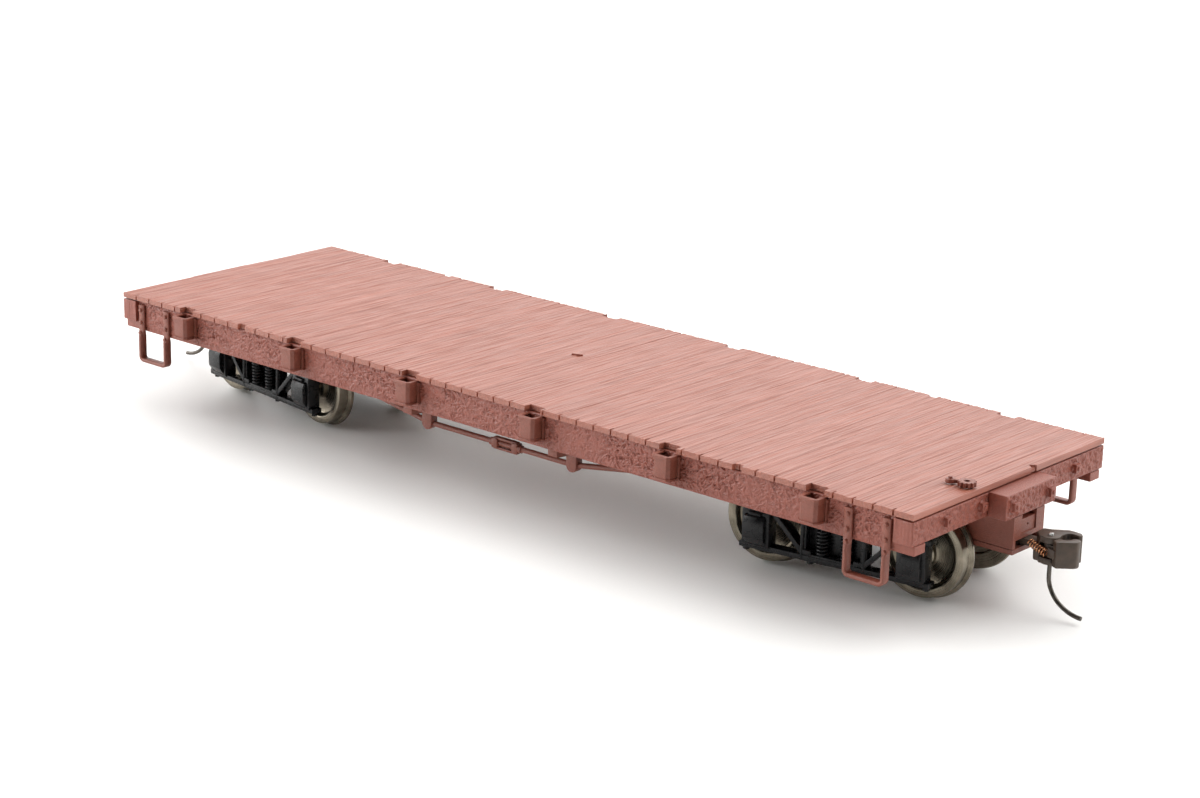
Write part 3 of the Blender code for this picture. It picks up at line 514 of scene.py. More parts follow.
def oxide_paint(name, dark, light, gloss, grain=None):
    """Satin red paint, slightly mottled, with fine relief of its own. grain stretches it into lines, and then the
    lighter and darker streaks are painted highlight and shade of the grain's ridges.
    """
    nodes = Nodes(bpy.data.materials.new(name))
    place = nodes.stretched(grain) if grain else nodes.place
    line_size, streak_size = (0.22, 0.45) if grain else (0.16, 0.5)
    mottle = nodes.noise(3.0, 4.0)
    lines = nodes.noise(line_size, 3.0, place)
    streaks = nodes.noise(streak_size, 2.0, place)
    # Streaks of lighter and darker colour: random tone on plain paint; along the grain, painted highlight and
    # shade of the grain's ridges.
    colour = nodes.mix(nodes.between(streaks, 0.0, 1.0), dark, light)
    middle = [(low + high) / 2 for low, high in zip(dark, light)]
    colour = nodes.mix(nodes.between(mottle, 0.0, 0.5), colour, middle)
    relief = nodes.bump(lines, 0.12 if grain else 0.08)
    return nodes.finish(colour, nodes.between(lines, 0.36, 0.52), relief, {"Specular IOR Level": gloss})


def plastic(name, dark, light, roughness, specular, mottle_mm, grit):
    """Moulded plastic with faint scuffs. grit is the size and the detail of its finest relief."""
    nodes = Nodes(bpy.data.materials.new(name))
    mottle = nodes.noise(mottle_mm, 4.0)
    relief = nodes.bump(nodes.noise(*grit), 0.012)
    colour = nodes.mix(nodes.between(mottle, 0.0, 1.0), dark, light)
    return nodes.finish(colour, nodes.between(mottle, *roughness), relief, {"Specular IOR Level": specular})


def wheel_metal():
    """Darkened nickel with turning marks that run round the axle."""
    nodes = Nodes(bpy.data.materials.new("turned_wheel_metal"))
    parts = nodes.add("ShaderNodeSeparateXYZ", {"Vector": nodes.place})
    flat = nodes.add("ShaderNodeCombineXYZ", {"X": parts.outputs["X"], "Z": parts.outputs["Z"]})
    length = nodes.add("ShaderNodeVectorMath", {0: flat.outputs["Vector"]}, operation="LENGTH")
    inputs = {"W": length.outputs["Value"], "Scale": 9000.0, "Detail": 3.0}
    rings = nodes.add("ShaderNodeTexNoise", inputs, noise_dimensions="1D").outputs["Fac"]
    patina = nodes.noise(2.5, 3.0)
    colour = nodes.mix(nodes.between(patina, 0.0, 1.0), (0.14, 0.12, 0.09), (0.31, 0.275, 0.215))
    others = {"Metallic": 1.0, "Anisotropic": 0.5}
    return nodes.finish(colour, nodes.between(rings, 0.2, 0.36), nodes.bump(rings, 0.004), others)


def metal(name, dark, light, roughness):
    """Bare metal, slightly mottled, with a fine grit."""
    nodes = Nodes(bpy.data.materials.new(name))
    mottle = nodes.noise(0.9, 4.0)
    grit = nodes.noise(0.15, 2.0)
    colour = nodes.mix(nodes.between(mottle, 0.0, 1.0), dark, light)
    return nodes.finish(colour, nodes.between(grit, *roughness), nodes.bump(grit, 0.006), {"Metallic": 1.0})


ALONG_Y = (1.0, 0.03, 1.0)
# The deck's wide spread from dark to light is painted highlight and shade on its grain lines.
DECK_PAINT = oxide_paint("deck_paint", (0.255, 0.074, 0.043), (0.375, 0.112, 0.066), 0.8, ALONG_Y)
SILL_PAINT = oxide_paint("sill_paint", (0.214, 0.051, 0.030), (0.286, 0.070, 0.042), 0.6)
# Darker than the sill paint, partly as painted shade for the draft gear boxes' sides that lie in shade under the
# car; the other castings share it.
CASTING_PAINT = oxide_paint("casting_paint", (0.195, 0.055, 0.034), (0.250, 0.071, 0.044), 0.5)
BLACK = plastic(
    "satin_black_plastic", (0.006, 0.006, 0.007), (0.014, 0.014, 0.015), (0.2, 0.36), 0.28, 1.6, (0.12, 3.0)
)
WHEEL = wheel_metal()
BROWN = plastic(
    "brown_coupler_plastic", (0.058, 0.039, 0.028), (0.090, 0.062, 0.045), (0.34, 0.5), 0.4, 1.2, (0.14, 2.0)
)
TRIP_WIRE = metal("dark_trip_wire", (0.060, 0.052, 0.045), (0.130, 0.115, 0.100), (0.28, 0.42))
COPPER = metal("copper_spring_wire", (0.55, 0.24, 0.11), (0.80, 0.42, 0.24), (0.2, 0.34))
STEEL = metal("bright_steel", (0.42, 0.42, 0.41), (0.62, 0.62, 0.60), (0.2, 0.34))


# ---- deck ----


def pocket_places():
    """X of each stake pocket on the near side."""
    return [sum(span(f"stake_pocket_near_{number + 1}")[0]) / 2 for number in range(POCKETS_PER_SIDE)]


def deck_notches():
    """(x0, x1, sign of Y, depth) of each notch in the deck's long edges: six at pockets, two small."""
    pocket_half, pocket_depth = 1.6, 1.2
    small_x, small_half, small_depth = 52.75, 0.8, 0.7
    notches = []
    for side in (-1, 1):
        for x in pocket_places():
            notches.append((x - pocket_half, x + pocket_half, side, pocket_depth))
        for x in (-small_x, small_x):
            notches.append((x - small_half, x + small_half, side, small_depth))
    return notches


def plank_columns(low_x, high_x, notches, round_off):
    """X of a plank's columns of points: evenly spaced, with more at the notches and the long edges."""
    hair = 0.004
    edges = [edge for notch in notches for edge in notch[:2] if low_x < edge < high_x]
    extra = [edge + shift for edge in edges for shift in (-hair, hair)]
    extra += [low_x + round_off * 0.3, high_x - round_off * 0.3]
    return np.sort(np.concatenate([np.linspace(low_x, high_x, 40), extra]))


def plank_ends(columns, notches):
    """Y of a plank's near and far end at each column."""
    y_low = np.full(len(columns), DECK_Y[0])
    y_high = np.full(len(columns), DECK_Y[1])
    for start, end, side, depth in notches:
        inside = (columns > start) & (columns < end)
        if side < 0:
            y_low[inside] = DECK_Y[0] + depth
        else:
            y_high[inside] = DECK_Y[1] - depth
    return y_low[:, None], y_high[:, None]


def plank_shell(number, notches):
    """One deck plank, with wood grain on its top and its ends cut back at the notches.

    The seam is a hairline over most of the deck and opens to a slot at both ends of the planks.
    """
    seam = 0.018
    slot, slot_length, slot_taper = 0.13, 0.9, 0.25
    round_off = 0.03
    grain_depth = 0.1
    above_sills = 0.02
    rng = np.random.default_rng(500 + number)
    settle, tilt = rng.uniform(0.0, 0.02), rng.uniform(-0.01, 0.01)
    start_x = DECK_X[0] + number * PLANK_PITCH
    end_x = start_x + PLANK_PITCH
    gap_low = seam if number else 0.0
    gap_high = seam if number < PLANKS - 1 else 0.0
    low_x, high_x = start_x + gap_low, end_x - gap_high
    columns = plank_columns(low_x, high_x, notches, round_off)
    y_low, y_high = plank_ends(columns, notches)
    near_end = np.array([0.0, 0.0012, 0.003, 0.008, 0.013, 0.018, 0.022])
    rows = np.concatenate([near_end, np.linspace(0.03, 0.97, 66), 1 - near_end[::-1]])
    x = np.repeat(columns[:, None], len(rows), 1)
    y = y_low + (y_high - y_low) * rows[None, :]
    drop = np.zeros(x.shape)
    for distance in (np.minimum(x - low_x, high_x - x), np.minimum(y - y_low, y_high - y)):
        short = np.clip(1 - distance / round_off, 0.0, 1.0)
        drop += round_off * (1 - np.sqrt(1 - 0.98 * short * short))
    grain = grain_depth * (wood_grain(x, y, 11) - 1.0)
    top = DECK_TOP + grain - settle + tilt * (x - low_x) / PLANK_PITCH - abs(tilt) - drop
    bottom = np.full(x.shape, DECK_BOTTOM + above_sills)
    from_edge = np.minimum(y - DECK_Y[0], DECK_Y[1] - y)
    opening = slot * np.clip((slot_length - from_edge) / slot_taper, 0.0, 1.0)
    share = (x - low_x) / (high_x - low_x)
    x = x + opening * ((1 - share) * (gap_low > 0) - share * (gap_high > 0))
    if number == PLANKS - 1:
        inside = (y > END_NOTCH_Y[0]) & (y < END_NOTCH_Y[1])
        x = np.where(inside, np.minimum(x, DECK_X[1] - END_NOTCH_DEPTH), x)
    return closed_sheet(x, y, top, bottom)


def closed_sheet(x, y, top, bottom):
    """A solid between two height grids over the same plan."""
    rows, columns = x.shape
    count = rows * columns
    index = np.arange(count).reshape(rows, columns)
    upper = np.stack([x, y, top], -1).reshape(-1, 3)
    rim = np.concatenate([index[:, 0], index[-1, 1:], index[-2::-1, -1], index[0, -2:0:-1]])
    lower = np.stack([x, y, bottom], -1).reshape(-1, 3)[rim]
    faces = grid_quads(index).tolist()
    size = len(rim)
    for step in range(size):
        after = (step + 1) % size
        faces.append([int(rim[after]), int(rim[step]), count + step, count + after])
    faces.append([count + step for step in reversed(range(size))])
    return np.concatenate([upper, lower]), faces


def make_deck():
    """Planks with the half-round tab at mid deck, and the floor that closes the gaps under them."""
    tab_centre, tab_radius, tab_height = (-1.25, 1.7), 0.98, 0.18
    end_inset, side_inset, floor_depth = 0.15, 1.3, 0.4
    notches = deck_notches()
    shells = [plank_shell(number, notches) for number in range(PLANKS)]
    tab_outline = arc(tab_centre, tab_radius, 20, 200, 12)
    tab = prism("XY", (DECK_TOP - 0.3, DECK_TOP + tab_height), tab_outline, 0.06)
    piece("deck_planks", [*shells, tab], DECK_PAINT, "car_body", ["deck"])
    base = block(
        (DECK_X[0] + end_inset, DECK_X[1] - end_inset),
        (DECK_Y[0] + side_inset, DECK_Y[1] - side_inset),
        (DECK_BOTTOM, DECK_TOP - floor_depth),
    )
    piece("deck_floor", [base], DECK_PAINT, "car_body")


# ---- sills, blocks and their bolts ----


def make_side_sills():
    """Side sills of creased timber, with a plain tongue that passes under each end sill."""
    crease = 0.17
    notch_x = END_X[0] - 0.1
    notch_z = END_Z[0] - 0.1

    def face_relief(seed):
        return lambda points: crease * crinkle(points[:, 0], points[:, 2], seed)

    def under_relief(points):
        return crease * 0.7 * crinkle(points[:, 0], points[:, 1], 71)

    for number, (side, turn) in enumerate(SIDES):
        reliefs = {"-Y": face_relief(31 + 20 * number), "-Z": under_relief}
        timber = relief_block((-notch_x, notch_x), SILL_Y, SILL_Z, (0.1, 0.3, 0.1), reliefs)
        tongue_z = (SILL_Z[0], notch_z)
        tongue = relief_block((-END_FACE, END_FACE), SILL_Y, tongue_z, (1.0, 0.4, 0.3), {}, 0.08)
        shells = [turned(timber, turn), turned(tongue, turn)]
        name = f"timber_side_sill_{side}"
        piece(name, shells, SILL_PAINT, "car_body", [f"side_sill_{side}"])


def bolt(x, y, washer=0.92):
    """Coned washer, square nut and domed bolt end standing out of a face that looks along +X."""
    z = BOLT_Z
    washer_height, washer_slope = 0.3, 0.22
    nut, nut_height = 0.66, 0.76
    stub, stub_tip = 0.42, 0.34
    return [
        rod((x - 0.1, y, z), (x + washer_height, y, z), washer, washer - washer_slope, 24, 0.05),
        block((x, x + nut_height), (y - nut, y + nut), (z - nut, z + nut), 0.1),
        rod((x, y, z), (x + BOLT_HEIGHT, y, z), stub, stub_tip, 16, 0.14),
    ]


def make_ends():
    """End sills and buffer blocks with their bolts."""
    shadow_gap = 0.15
    sill_bolts = (-16.8, -8.0, 8.0, 16.8)
    block_bolts = (-4.75, 4.75)
    dent_depth, grain_depth = 0.15, 0.13

    def dents(points):
        return dent_depth * stipple(points[:, 1], points[:, 2], 81)

    def end_grain(points):
        return grain_depth * wood_grain(points[:, 0] * 0.6, points[:, 2], 85)

    reliefs = {"+X": dents, "+Y": end_grain, "-Y": end_grain}
    height = (END_Z[0], END_Z[1] - shadow_gap)
    sill = [relief_block((END_X[0], END_FACE), END_Y, height, (0.12, 0.12, 0.12), reliefs)]
    for y in sill_bolts:
        sill += bolt(END_FACE, y)
    length = (BLOCK_X[0], BLOCK_FACE)
    buffer = [relief_block(length, BLOCK_Y, BLOCK_Z, (0.5, 0.13, 0.13), {"+X": dents}, 0.14)]
    for y in block_bolts:
        buffer += bolt(BLOCK_FACE, y, 1.02)
    for letter, turn in ENDS:
        for node, shells in ((f"end_sill_{letter}", sill), (f"buffer_block_{letter}", buffer)):
            placed = [turned(shell, turn) for shell in shells]
            piece(f"timber_{node}", placed, SILL_PAINT, "car_body", [node])


# ---- castings on the sides ----


def pocket_shells():
    """A stake pocket on the near side sill, drawn about its own middle."""
    back, front = SILL_Y[0] - 0.1, span("stake_pocket_near_1")[1][0] + 0.2
    low, high = span("stake_pocket_near_1")[2]
    half, wall, chamfer = 1.55, 0.42, 0.45

    def cup(extra, z_span, radius=0.07):
        """The wall round the front and sides over some of the height, made wider by extra."""
        wide = half + extra
        outer = [(wide, back), (wide, front - extra + chamfer), (wide - chamfer, front - extra)]
        inner = [(half - wall, front + wall), (half - wall, back)]
        outline = [(-u, v) for u, v in outer] + [(u, v) for u, v in reversed(outer)]
        outline += [(u, v) for u, v in reversed(inner)] + [(-u, v) for u, v in inner]
        return prism("XY", z_span, outline, radius)

    shells = [
        cup(0.0, (low + 0.1, high - 0.2)),
        cup(0.2, (high - 0.55, high)),
        cup(0.1, (high - 0.85, high - 0.5), 0.05),
        cup(0.14, (low, low + 0.32)),
        block((-half, half), (front + 0.3, back), (low + 0.15, low + 0.4)),
    ]
    # Inner and outer edge, depth, bottom, top and rounding of the strip, rib and two ears at a side.
    flanges = (
        (-0.2, 0.45, 0.3, low + 0.1, high - 0.35, 0.05),
        (0.25, 0.42, 0.42, low + 0.1, high - 0.4, 0.04),
        (0.05, 0.55, 0.5, high - 0.7, high - 0.25, 0.08),
        (0.05, 0.55, 0.45, low, low + 0.3, 0.08),
    )
    for side in (-1, 1):
        for inner, outer, depth, bottom, top, radius in flanges:
            across = sorted((side * (half + inner), side * (half + outer)))
            shells.append(block(across, (back - depth, back), (bottom, top), radius))
    return shells


def make_pockets():
    shells = pocket_shells()
    for side, turn in SIDES:
        for number, x in enumerate(pocket_places()):
            node = f"stake_pocket_{side}_{number + 1}"
            placed = [turned(moved(shell, x=x), turn) for shell in shells]
            piece(f"cast_{node}", placed, CASTING_PAINT, "car_body", [node])


def step_shells():
    """A stirrup step on the near side, drawn about its own middle: a strap that twists into a U."""
    back = SILL_Y[0] - 0.1
    low, high = STEP_Z
    strap_half, strap_depth = 0.7, 0.22
    tread_half, tread_depth = 0.3, 0.7
    leg_x = (STEP_X[1] - STEP_X[0]) / 2 - strap_half
    twist_high, twist_low = 13.6, 12.5
    corner = 0.7
    ease = 0.1
    middle_z = low + tread_half
    leg_z = [high, 17.0, 14.4, *np.linspace(twist_high, twist_low, 5).tolist(), 11.0]
    left = [(-leg_x, z) for z in leg_z]
    left += arc((-leg_x + corner, middle_z + corner), corner, 180, 270, 6)
    path = left + [(-x, z) for x, z in reversed(left)]
    rings = []
    for number, (x, z) in enumerate(path):
        share = min(1.0, max(0.0, (twist_high - z) / (twist_high - twist_low)))
        half = strap_half + (tread_half - strap_half) * share
        depth = strap_depth + (tread_depth - strap_depth) * share
        section = [(half - ease, depth), (half, depth - ease), (half, -depth + ease), (half - ease, -depth)]
        along = direction_at(path, number)
        y = back - strap_depth
        rings.append([(x + along.y * u, y + v, z - along.x * u) for u, v in mirrored(section)])
    shells = [skin(rings)]
    for side in (-1, 1):
        for z, reach in ((17.1, 0.35), (14.9, 0.35), (13.1, 0.5)):
            root = (side * leg_x, back - 0.3, z)
            head = (side * leg_x, back - 2 * strap_depth - reach, z)
            shells.append(rod(root, head, 0.44, 0.3, 14, 0.1))
    return shells


def make_steps():
    shells = step_shells()
    for side, turn in SIDES:
        for letter, direction in (("a", 1), ("b", -1)):
            x = direction * sum(STEP_X) / 2 * math.cos(turn)
            node = f"stirrup_step_{side}_{letter}"
            placed = [turned(moved(shell, x=x), turn) for shell in shells]
            piece(f"strap_{node}", placed, CASTING_PAINT, "car_body", [node])


# ---- brake ratchet and pawl ----


def make_brake_fittings():
    """Ratchet as it is in CAD, and a pawl with a round eye and a tapering arm."""
    finish_node("brake_ratchet", CASTING_PAINT, 0.06)
    (x0, x1), (y0, y1), (low, high) = span("brake_pawl")
    eye = (y1 - y0) / 2
    pivot = (x0 + eye, (y0 + y1) / 2)
    tip_y = y1 - 0.25
    arm = [(pivot[0], pivot[1] - 0.55), (x1, tip_y - 0.25), (x1, tip_y + 0.22), (pivot[0], pivot[1] + 0.7)]
    shells = [
        rod((*pivot, low), (*pivot, high - 0.3), eye - 0.02, eye - 0.06, 20, 0.08),
        rod((*pivot, low), (*pivot, high), 0.4, 0.32, 12, 0.08),
        prism("XY", (low, high - 0.4), arm, 0.08),
    ]
    piece("pivoted_pawl", shells, CASTING_PAINT, "car_body", ["brake_pawl"])


# ---- underframe ----


def make_needle_beams():
    """Cross beams, deeper at the middle, each with a queen post at both ends."""
    top = BEAM_Z[1]
    centre_x = sum(BEAM_X) / 2
    queen_y = sum(ROD_Y) / 2
    beam_half, post_half = 0.95, 0.75
    half = [(BEAM_Y[1], top), (BEAM_Y[1], 11.8), (19.4, 11.5), (10.0, 10.2)]
    beam = prism("YZ", (centre_x - beam_half, centre_x + beam_half), mirrored(half), 0.12)
    post_outline = arc((centre_x, BEAM_Z[0] + POST_FOOT), POST_FOOT, 180, 360, 12)
    post_outline += [(centre_x + POST_FOOT, top - 0.3), (centre_x - POST_FOOT, top - 0.3)]
    shells = [beam]
    for y in (-queen_y, queen_y):
        shells.append(prism("XZ", (y - post_half, y + post_half), post_outline, 0.14))
    for letter, turn in ENDS:
        placed = [turned(shell, turn) for shell in shells]
        name = f"queen_post_beam_{letter}"
        piece(name, placed, CASTING_PAINT, "car_body", [f"needle_beam_{letter}"])


def smooth_bend(points, radius, steps=6):
    """A polyline with its inner corners rounded."""
    points = [Vector(point) for point in points]
    rounded = [points[0]]
    for before, here, after in zip(points, points[1:], points[2:]):
        start = here + (before - here).normalized() * radius
        end = here + (after - here).normalized() * radius
        for step in range(steps + 1):
            share = step / steps
            rounded.append(start * (1 - share) ** 2 + here * 2 * share * (1 - share) + end * share**2)
    rounded.append(points[-1])
    return rounded


def make_truss_rods():
    """Truss rods from bolster to bolster under the queen posts, each with a turnbuckle."""
    radius = 0.45
    y = sum(ROD_Y) / 2
    beam_x = sum(BEAM_X) / 2
    low = BEAM_Z[0] + POST_FOOT
    high = ROD_Z[1] - radius
    route = [(ROD_X[0], y, high), (-beam_x, y, low), (beam_x, y, low), (ROD_X[1], y, high)]
    shells = [wire(smooth_bend(route, 1.5), radius, 16)]
    middle, half_length, half_height = 1.4, 2.8, 1.0
    for side in (-1, 1):
        rail_z = low + side * (half_height - 0.2)
        rail = ((middle - half_length + 0.3, middle + half_length - 0.3), (y - 0.45, y + 0.45))
        shells.append(block(*rail, (rail_z - 0.2, rail_z + 0.2), 0.12))
        end_x = middle + side * (half_length - 0.65)
        hub = (end_x - 0.65, end_x + 0.65)
        shells.append(block(hub, (y - 0.7, y + 0.7), (low - 0.85, low + 0.85), 0.3))
        collar = middle + side * (half_length + 0.2)
        shells.append(rod((collar - 0.35, y, low), (collar + 0.35, y, low), 0.66, None, 12, 0.1))
    for side, turn in SIDES:
        placed = [turned(shell, turn) for shell in shells]
        name = f"round_truss_rod_{side}"
        piece(name, placed, CASTING_PAINT, "car_body", [f"truss_rod_{side}"])


def make_plain_underframe():
    """CAD nodes whose shape is already right: they get their paint and eased edges."""
    finish_node("centre_sill", SILL_PAINT)
    finish_node("ballast_plate", STEEL)
    for letter, _ in ENDS:
        finish_node(f"body_bolster_{letter}", CASTING_PAINT)
        finish_node(f"kingpin_{letter}", STEEL)
        finish_node(f"truck_bolster_{letter}", BLACK)
        finish_node(f"draft_gear_box_{letter}", CASTING_PAINT)
        finish_node(f"draft_gear_lid_{letter}", CASTING_PAINT)


# ---- trucks ----


def upright_coil(x, y, low, high):
    """A truck spring standing between two heights."""
    radius, wire_radius, turns = 0.92, 0.19, 7.5
    start, end = Vector((x, y, low + wire_radius)), Vector((x, y, high - wire_radius))
    return wire(helix(start, end, Vector((1, 0, 0)), Vector((0, 1, 0)), radius, turns), wire_radius, 8)


def journal_shells(x):
    """Journal box with a sloping lid, hinged at its top."""
    low, high = FRAME_Z[0] + 0.7, BOX_TOP
    front, back = FRAME_Y[0], FRAME_Y[1]
    body = [(back, high), (front + 1.0, high), (front + 0.8, high - 0.9), (front + 0.9, low + 0.6)]
    body += [(front + 1.5, low), (back, low)]
    lid = [(front + 1.0, high - 0.9), (front + 0.35, high - 1.2), (front, high - 2.3)]
    lid += [(front + 0.1, low + 1.9), (front + 0.9, low + 0.8)]
    return [
        prism("YZ", (x - 2.3, x + 2.3), body, 0.16),
        prism("YZ", (x - 1.75, x + 1.75), lid, 0.14),
        rod((x - 1.0, front + 0.7, high - 0.8), (x + 1.0, front + 0.7, high - 0.8), 0.34, None, 12),
    ]


def side_frame_shells():
    """Near side frame of a truck, drawn about the truck's centre."""
    outer, inner = -13.0, FRAME_Y[1]
    middle = (outer + inner) / 2
    thick, brace_thick = 0.8, 0.72
    tie_z = FRAME_Z[0] + 1.0
    ear_z = BOX_TOP + thick / 2
    arch_top = FRAME_Z[1]
    arch_z = arch_top - thick / 2
    bar_end = (FRAME_X[1] - FRAME_X[0]) / 2
    column_x, knee_x, box_inner = 5.0, 6.2, 10.1
    column_half = 0.5
    end_bolt_x = AXLE_X + 2.1
    spring_x, spring_top = 2.0, 8.75

    def flat(start, end, width=thick):
        """A flat bar of the frame between two (x, z) points."""
        return bar((start[0], middle, start[1]), (end[0], middle, end[1]), width, inner - outer)

    def upright(x, low, high, radius, segments, edge=0.05, y=middle):
        return rod((x, y, low), (x, y, high), radius, None, segments, edge)

    shells = [flat((-bar_end, tie_z), (bar_end, tie_z)), flat((-knee_x, arch_z), (knee_x, arch_z))]
    for side in (-1, 1):
        bend = (side * box_inner, ear_z)
        foot = (side * (column_x + 0.2), tie_z + thick + 0.1)
        shells.append(flat((side * bar_end, ear_z), bend))
        shells.append(flat(bend, (side * knee_x, arch_z)))
        shells.append(flat((side * box_inner, BOX_TOP - 0.3), foot, brace_thick))
        shells.append(flat(foot, (side * (column_x - 1.5), tie_z + thick), brace_thick))
        shells += journal_shells(side * AXLE_X)
        column = sorted((side * (column_x - column_half), side * (column_x + column_half)))
        shells.append(block(column, (outer + 0.25, inner), (tie_z, arch_top - 0.4), 0.1))
        post = side * (column_x + 0.1)
        shells.append(upright(post, tie_z - 0.2, arch_top - 0.2, 0.3, 10, y=outer + 0.2))
        for x, top in ((post, arch_top), (side * end_bolt_x, BOX_TOP + thick)):
            shells.append(upright(x, top - 0.9, top - 0.02, 0.5, 6, 0.06))
        for x in (side * (column_x - 1.0), side * end_bolt_x):
            shells.append(upright(x, FRAME_Z[0], tie_z, 0.55, 6, 0.06))
        shells.append(upright_coil(side * spring_x, middle, tie_z + 0.5, spring_top))
        shells.append(upright(side * spring_x, tie_z, spring_top - 0.15, 0.62, 12))
    shells.append(block((-4.1, 4.1), (outer + 0.1, inner), (tie_z, tie_z + 0.7), 0.1))
    shells.append(block((-column_x, column_x), (inner - 0.4, inner), (tie_z, spring_top - 0.1), 0.1))
    return shells


def make_side_frames():
    shells = side_frame_shells()
    for letter, turn in ENDS:
        centre = (TRUCK_X * math.cos(turn), 0.0, 0.0)
        body, spin = f"truck_{letter}", truck_turn(letter)
        for side, side_turn in SIDES:
            node = f"side_frame_{letter}_{side}"
            placed = [turned(shell, side_turn) for shell in shells]
            piece(f"archbar_{node}", placed, BLACK, body, [node], centre, spin)


def wheel_rings(flip):
    """Profile of a wheel from the bore over its outer face, tread and flange to its back."""
    back = 7.2
    front = back + 2.79
    bore = 1.02
    flange, tread = AXLE_Z, AXLE_Z - 0.6
    rings = [(bore, front - 0.05), (1.75, front - 0.05), (2.0, front - 0.2), (2.15, front - 0.75)]
    rings += [(2.6, front - 0.95), (4.4, front - 0.9), (4.9, front - 0.75), (5.25, front - 0.2)]
    rings += [(5.45, front - 0.04), (5.6, front), (tread - 0.22, front), (tread - 0.08, front - 0.06)]
    rings += [(tread - 0.02, front - 0.25), (tread, back + 1.25), (tread + 0.06, back + 1.02)]
    rings += [(tread + 0.25, back + 0.85), (flange - 0.1, back + 0.68), (flange - 0.02, back + 0.5)]
    rings += [(flange, back + 0.36), (flange - 0.05, back + 0.16), (flange - 0.2, back + 0.02)]
    rings += [(flange - 0.45, back), (5.0, back), (4.7, back + 0.35)]
    rings += [(2.6, back + 0.35), (2.3, back), (bore, back)]
    return [(radius, -along if flip else along) for radius, along in rings]


def make_wheelsets():
    """Wheelsets, each an axle with a wheel fixed to it and a loose wheel insulated from it."""
    half_axle = [(0.0, 12.9), (0.18, 12.85), (0.95, 11.6), (1.0, 11.4), (1.0, 10.2)]
    axle = lathe(half_axle + [(radius, -along) for radius, along in reversed(half_axle)], 32)
    far_wheel, near_wheel = lathe(wheel_rings(False)), lathe(wheel_rings(True))
    for letter, turn in ENDS:
        fixed, loose = (far_wheel, near_wheel) if turn == 0.0 else (near_wheel, far_wheel)
        spin = truck_turn(letter)
        for number in (1, 2):
            tag = f"{letter}{number}"
            body = f"wheelset_{tag}"
            place = joint_place(f"wheelset_{tag}_roll")
            plan = (
                (f"fixed_wheel_and_axle_{tag}", [axle, fixed], f"axle_{tag}"),
                (f"loose_wheel_{tag}", [loose], f"insulated_wheel_{tag}"),
            )
            for name, shells, node in plan:
                piece(name, shells, WHEEL, body, [node], place, spin, 28)


# ---- couplers ----


def coupler_shells():
    """Shank and head at end A: plates over and under the jaw's tang, the guard arm, and a small boss."""
    pin_x, pin_y, _ = KNUCKLE_PIN
    pivot_x = joint_place("coupler_a_swing")[0]
    low, high = HEAD_Z[0], HEAD_Z[1] - 0.35
    shank_low, shank_high = 10.1, 11.05
    tang_low, tang_high = 9.45, 11.65
    rear = [(88.3, 1.0), (88.3, -0.8), (89.6, -2.1)]
    guard_arm = [(91.85, 0.2), (91.95, 1.1), (92.35, 1.6), (92.9, 1.72), (93.75, 1.5), (93.98, 1.7)]
    guard_arm += [(94.03, 2.15), (93.5, 2.72), (92.5, 2.85), (91.4, 2.82), (89.4, 1.4)]
    plate = [*rear, *arc((pin_x, pin_y), 1.4, 240, 375, 14), *guard_arm]
    core = [*rear, (89.5, -0.6), (90.3, 0.35), *guard_arm]
    return [
        block((77.6, 89.2), (-1.15, 1.15), (shank_low, shank_high), 0.12),
        rod((pivot_x, 0, shank_low), (pivot_x, 0, shank_high), 2.25, None, 32, 0.1),
        prism("XY", (low, tang_low), plate, 0.14),
        prism("XY", (tang_high, high), plate, 0.14),
        prism("XY", (low + 0.1, high - 0.1), core, 0.1),
        rod((89.1, -1.6, 8.75), (89.1, -1.6, 10.2), 0.6, 0.66, 20, 0.14),
    ]


def knuckle_shells():
    """Hooked jaw at end A, about its pin."""
    low, high = HEAD_Z[0] + 0.1, HEAD_Z[1] - 0.45
    tang = (9.65, 11.45)
    outline = [(1.25, -1.4), (2.05, -1.87), (2.25, -1.87), (4.1, -0.3), (4.33, 0.0)]
    outline += [(4.4, 0.45), (4.25, 1.0), (3.95, 1.3), (3.5, 1.4), (3.15, 1.3)]
    outline += [(3.0, 1.0), (2.95, 0.55), (2.65, 0.05), (2.2, -0.2), (1.6, -0.3)]
    neck = [(0.0, -0.85), (1.7, -1.3), (1.9, -0.45), (0.0, 0.75)]
    spring_lug = [(0.35, -1.45), (1.75, -1.75), (1.75, -1.0), (0.35, -0.8)]
    return [
        prism("XY", (low, high), outline, 0.16),
        prism("XY", tang, neck, 0.08),
        prism("XY", (tang[0] + 0.1, tang[1] - 0.35), spring_lug, 0.1),
        rod((0, 0, tang[0]), (0, 0, tang[1]), 0.97, None, 24, 0.05),
    ]


def trip_wire_shell():
    """Trip pin at end A: straight down, then curving outward to its tip."""
    radius = (TRIP_Y[1] - TRIP_Y[0]) / 2
    start_x = TRIP_X[0] + radius
    curve_x, curve_z, drop = 96.2, 6.2, 5.1
    steps = 24
    path = [(start_x, 0.0, TRIP_Z[1]), (start_x, 0.0, 7.4)]
    for step in range(steps + 1):
        angle = math.radians(88 * step / steps)
        path.append((curve_x - (curve_x - start_x) * math.cos(angle), 0.0, curve_z - drop * math.sin(angle)))
    return wire(path, radius - 0.01, 16)


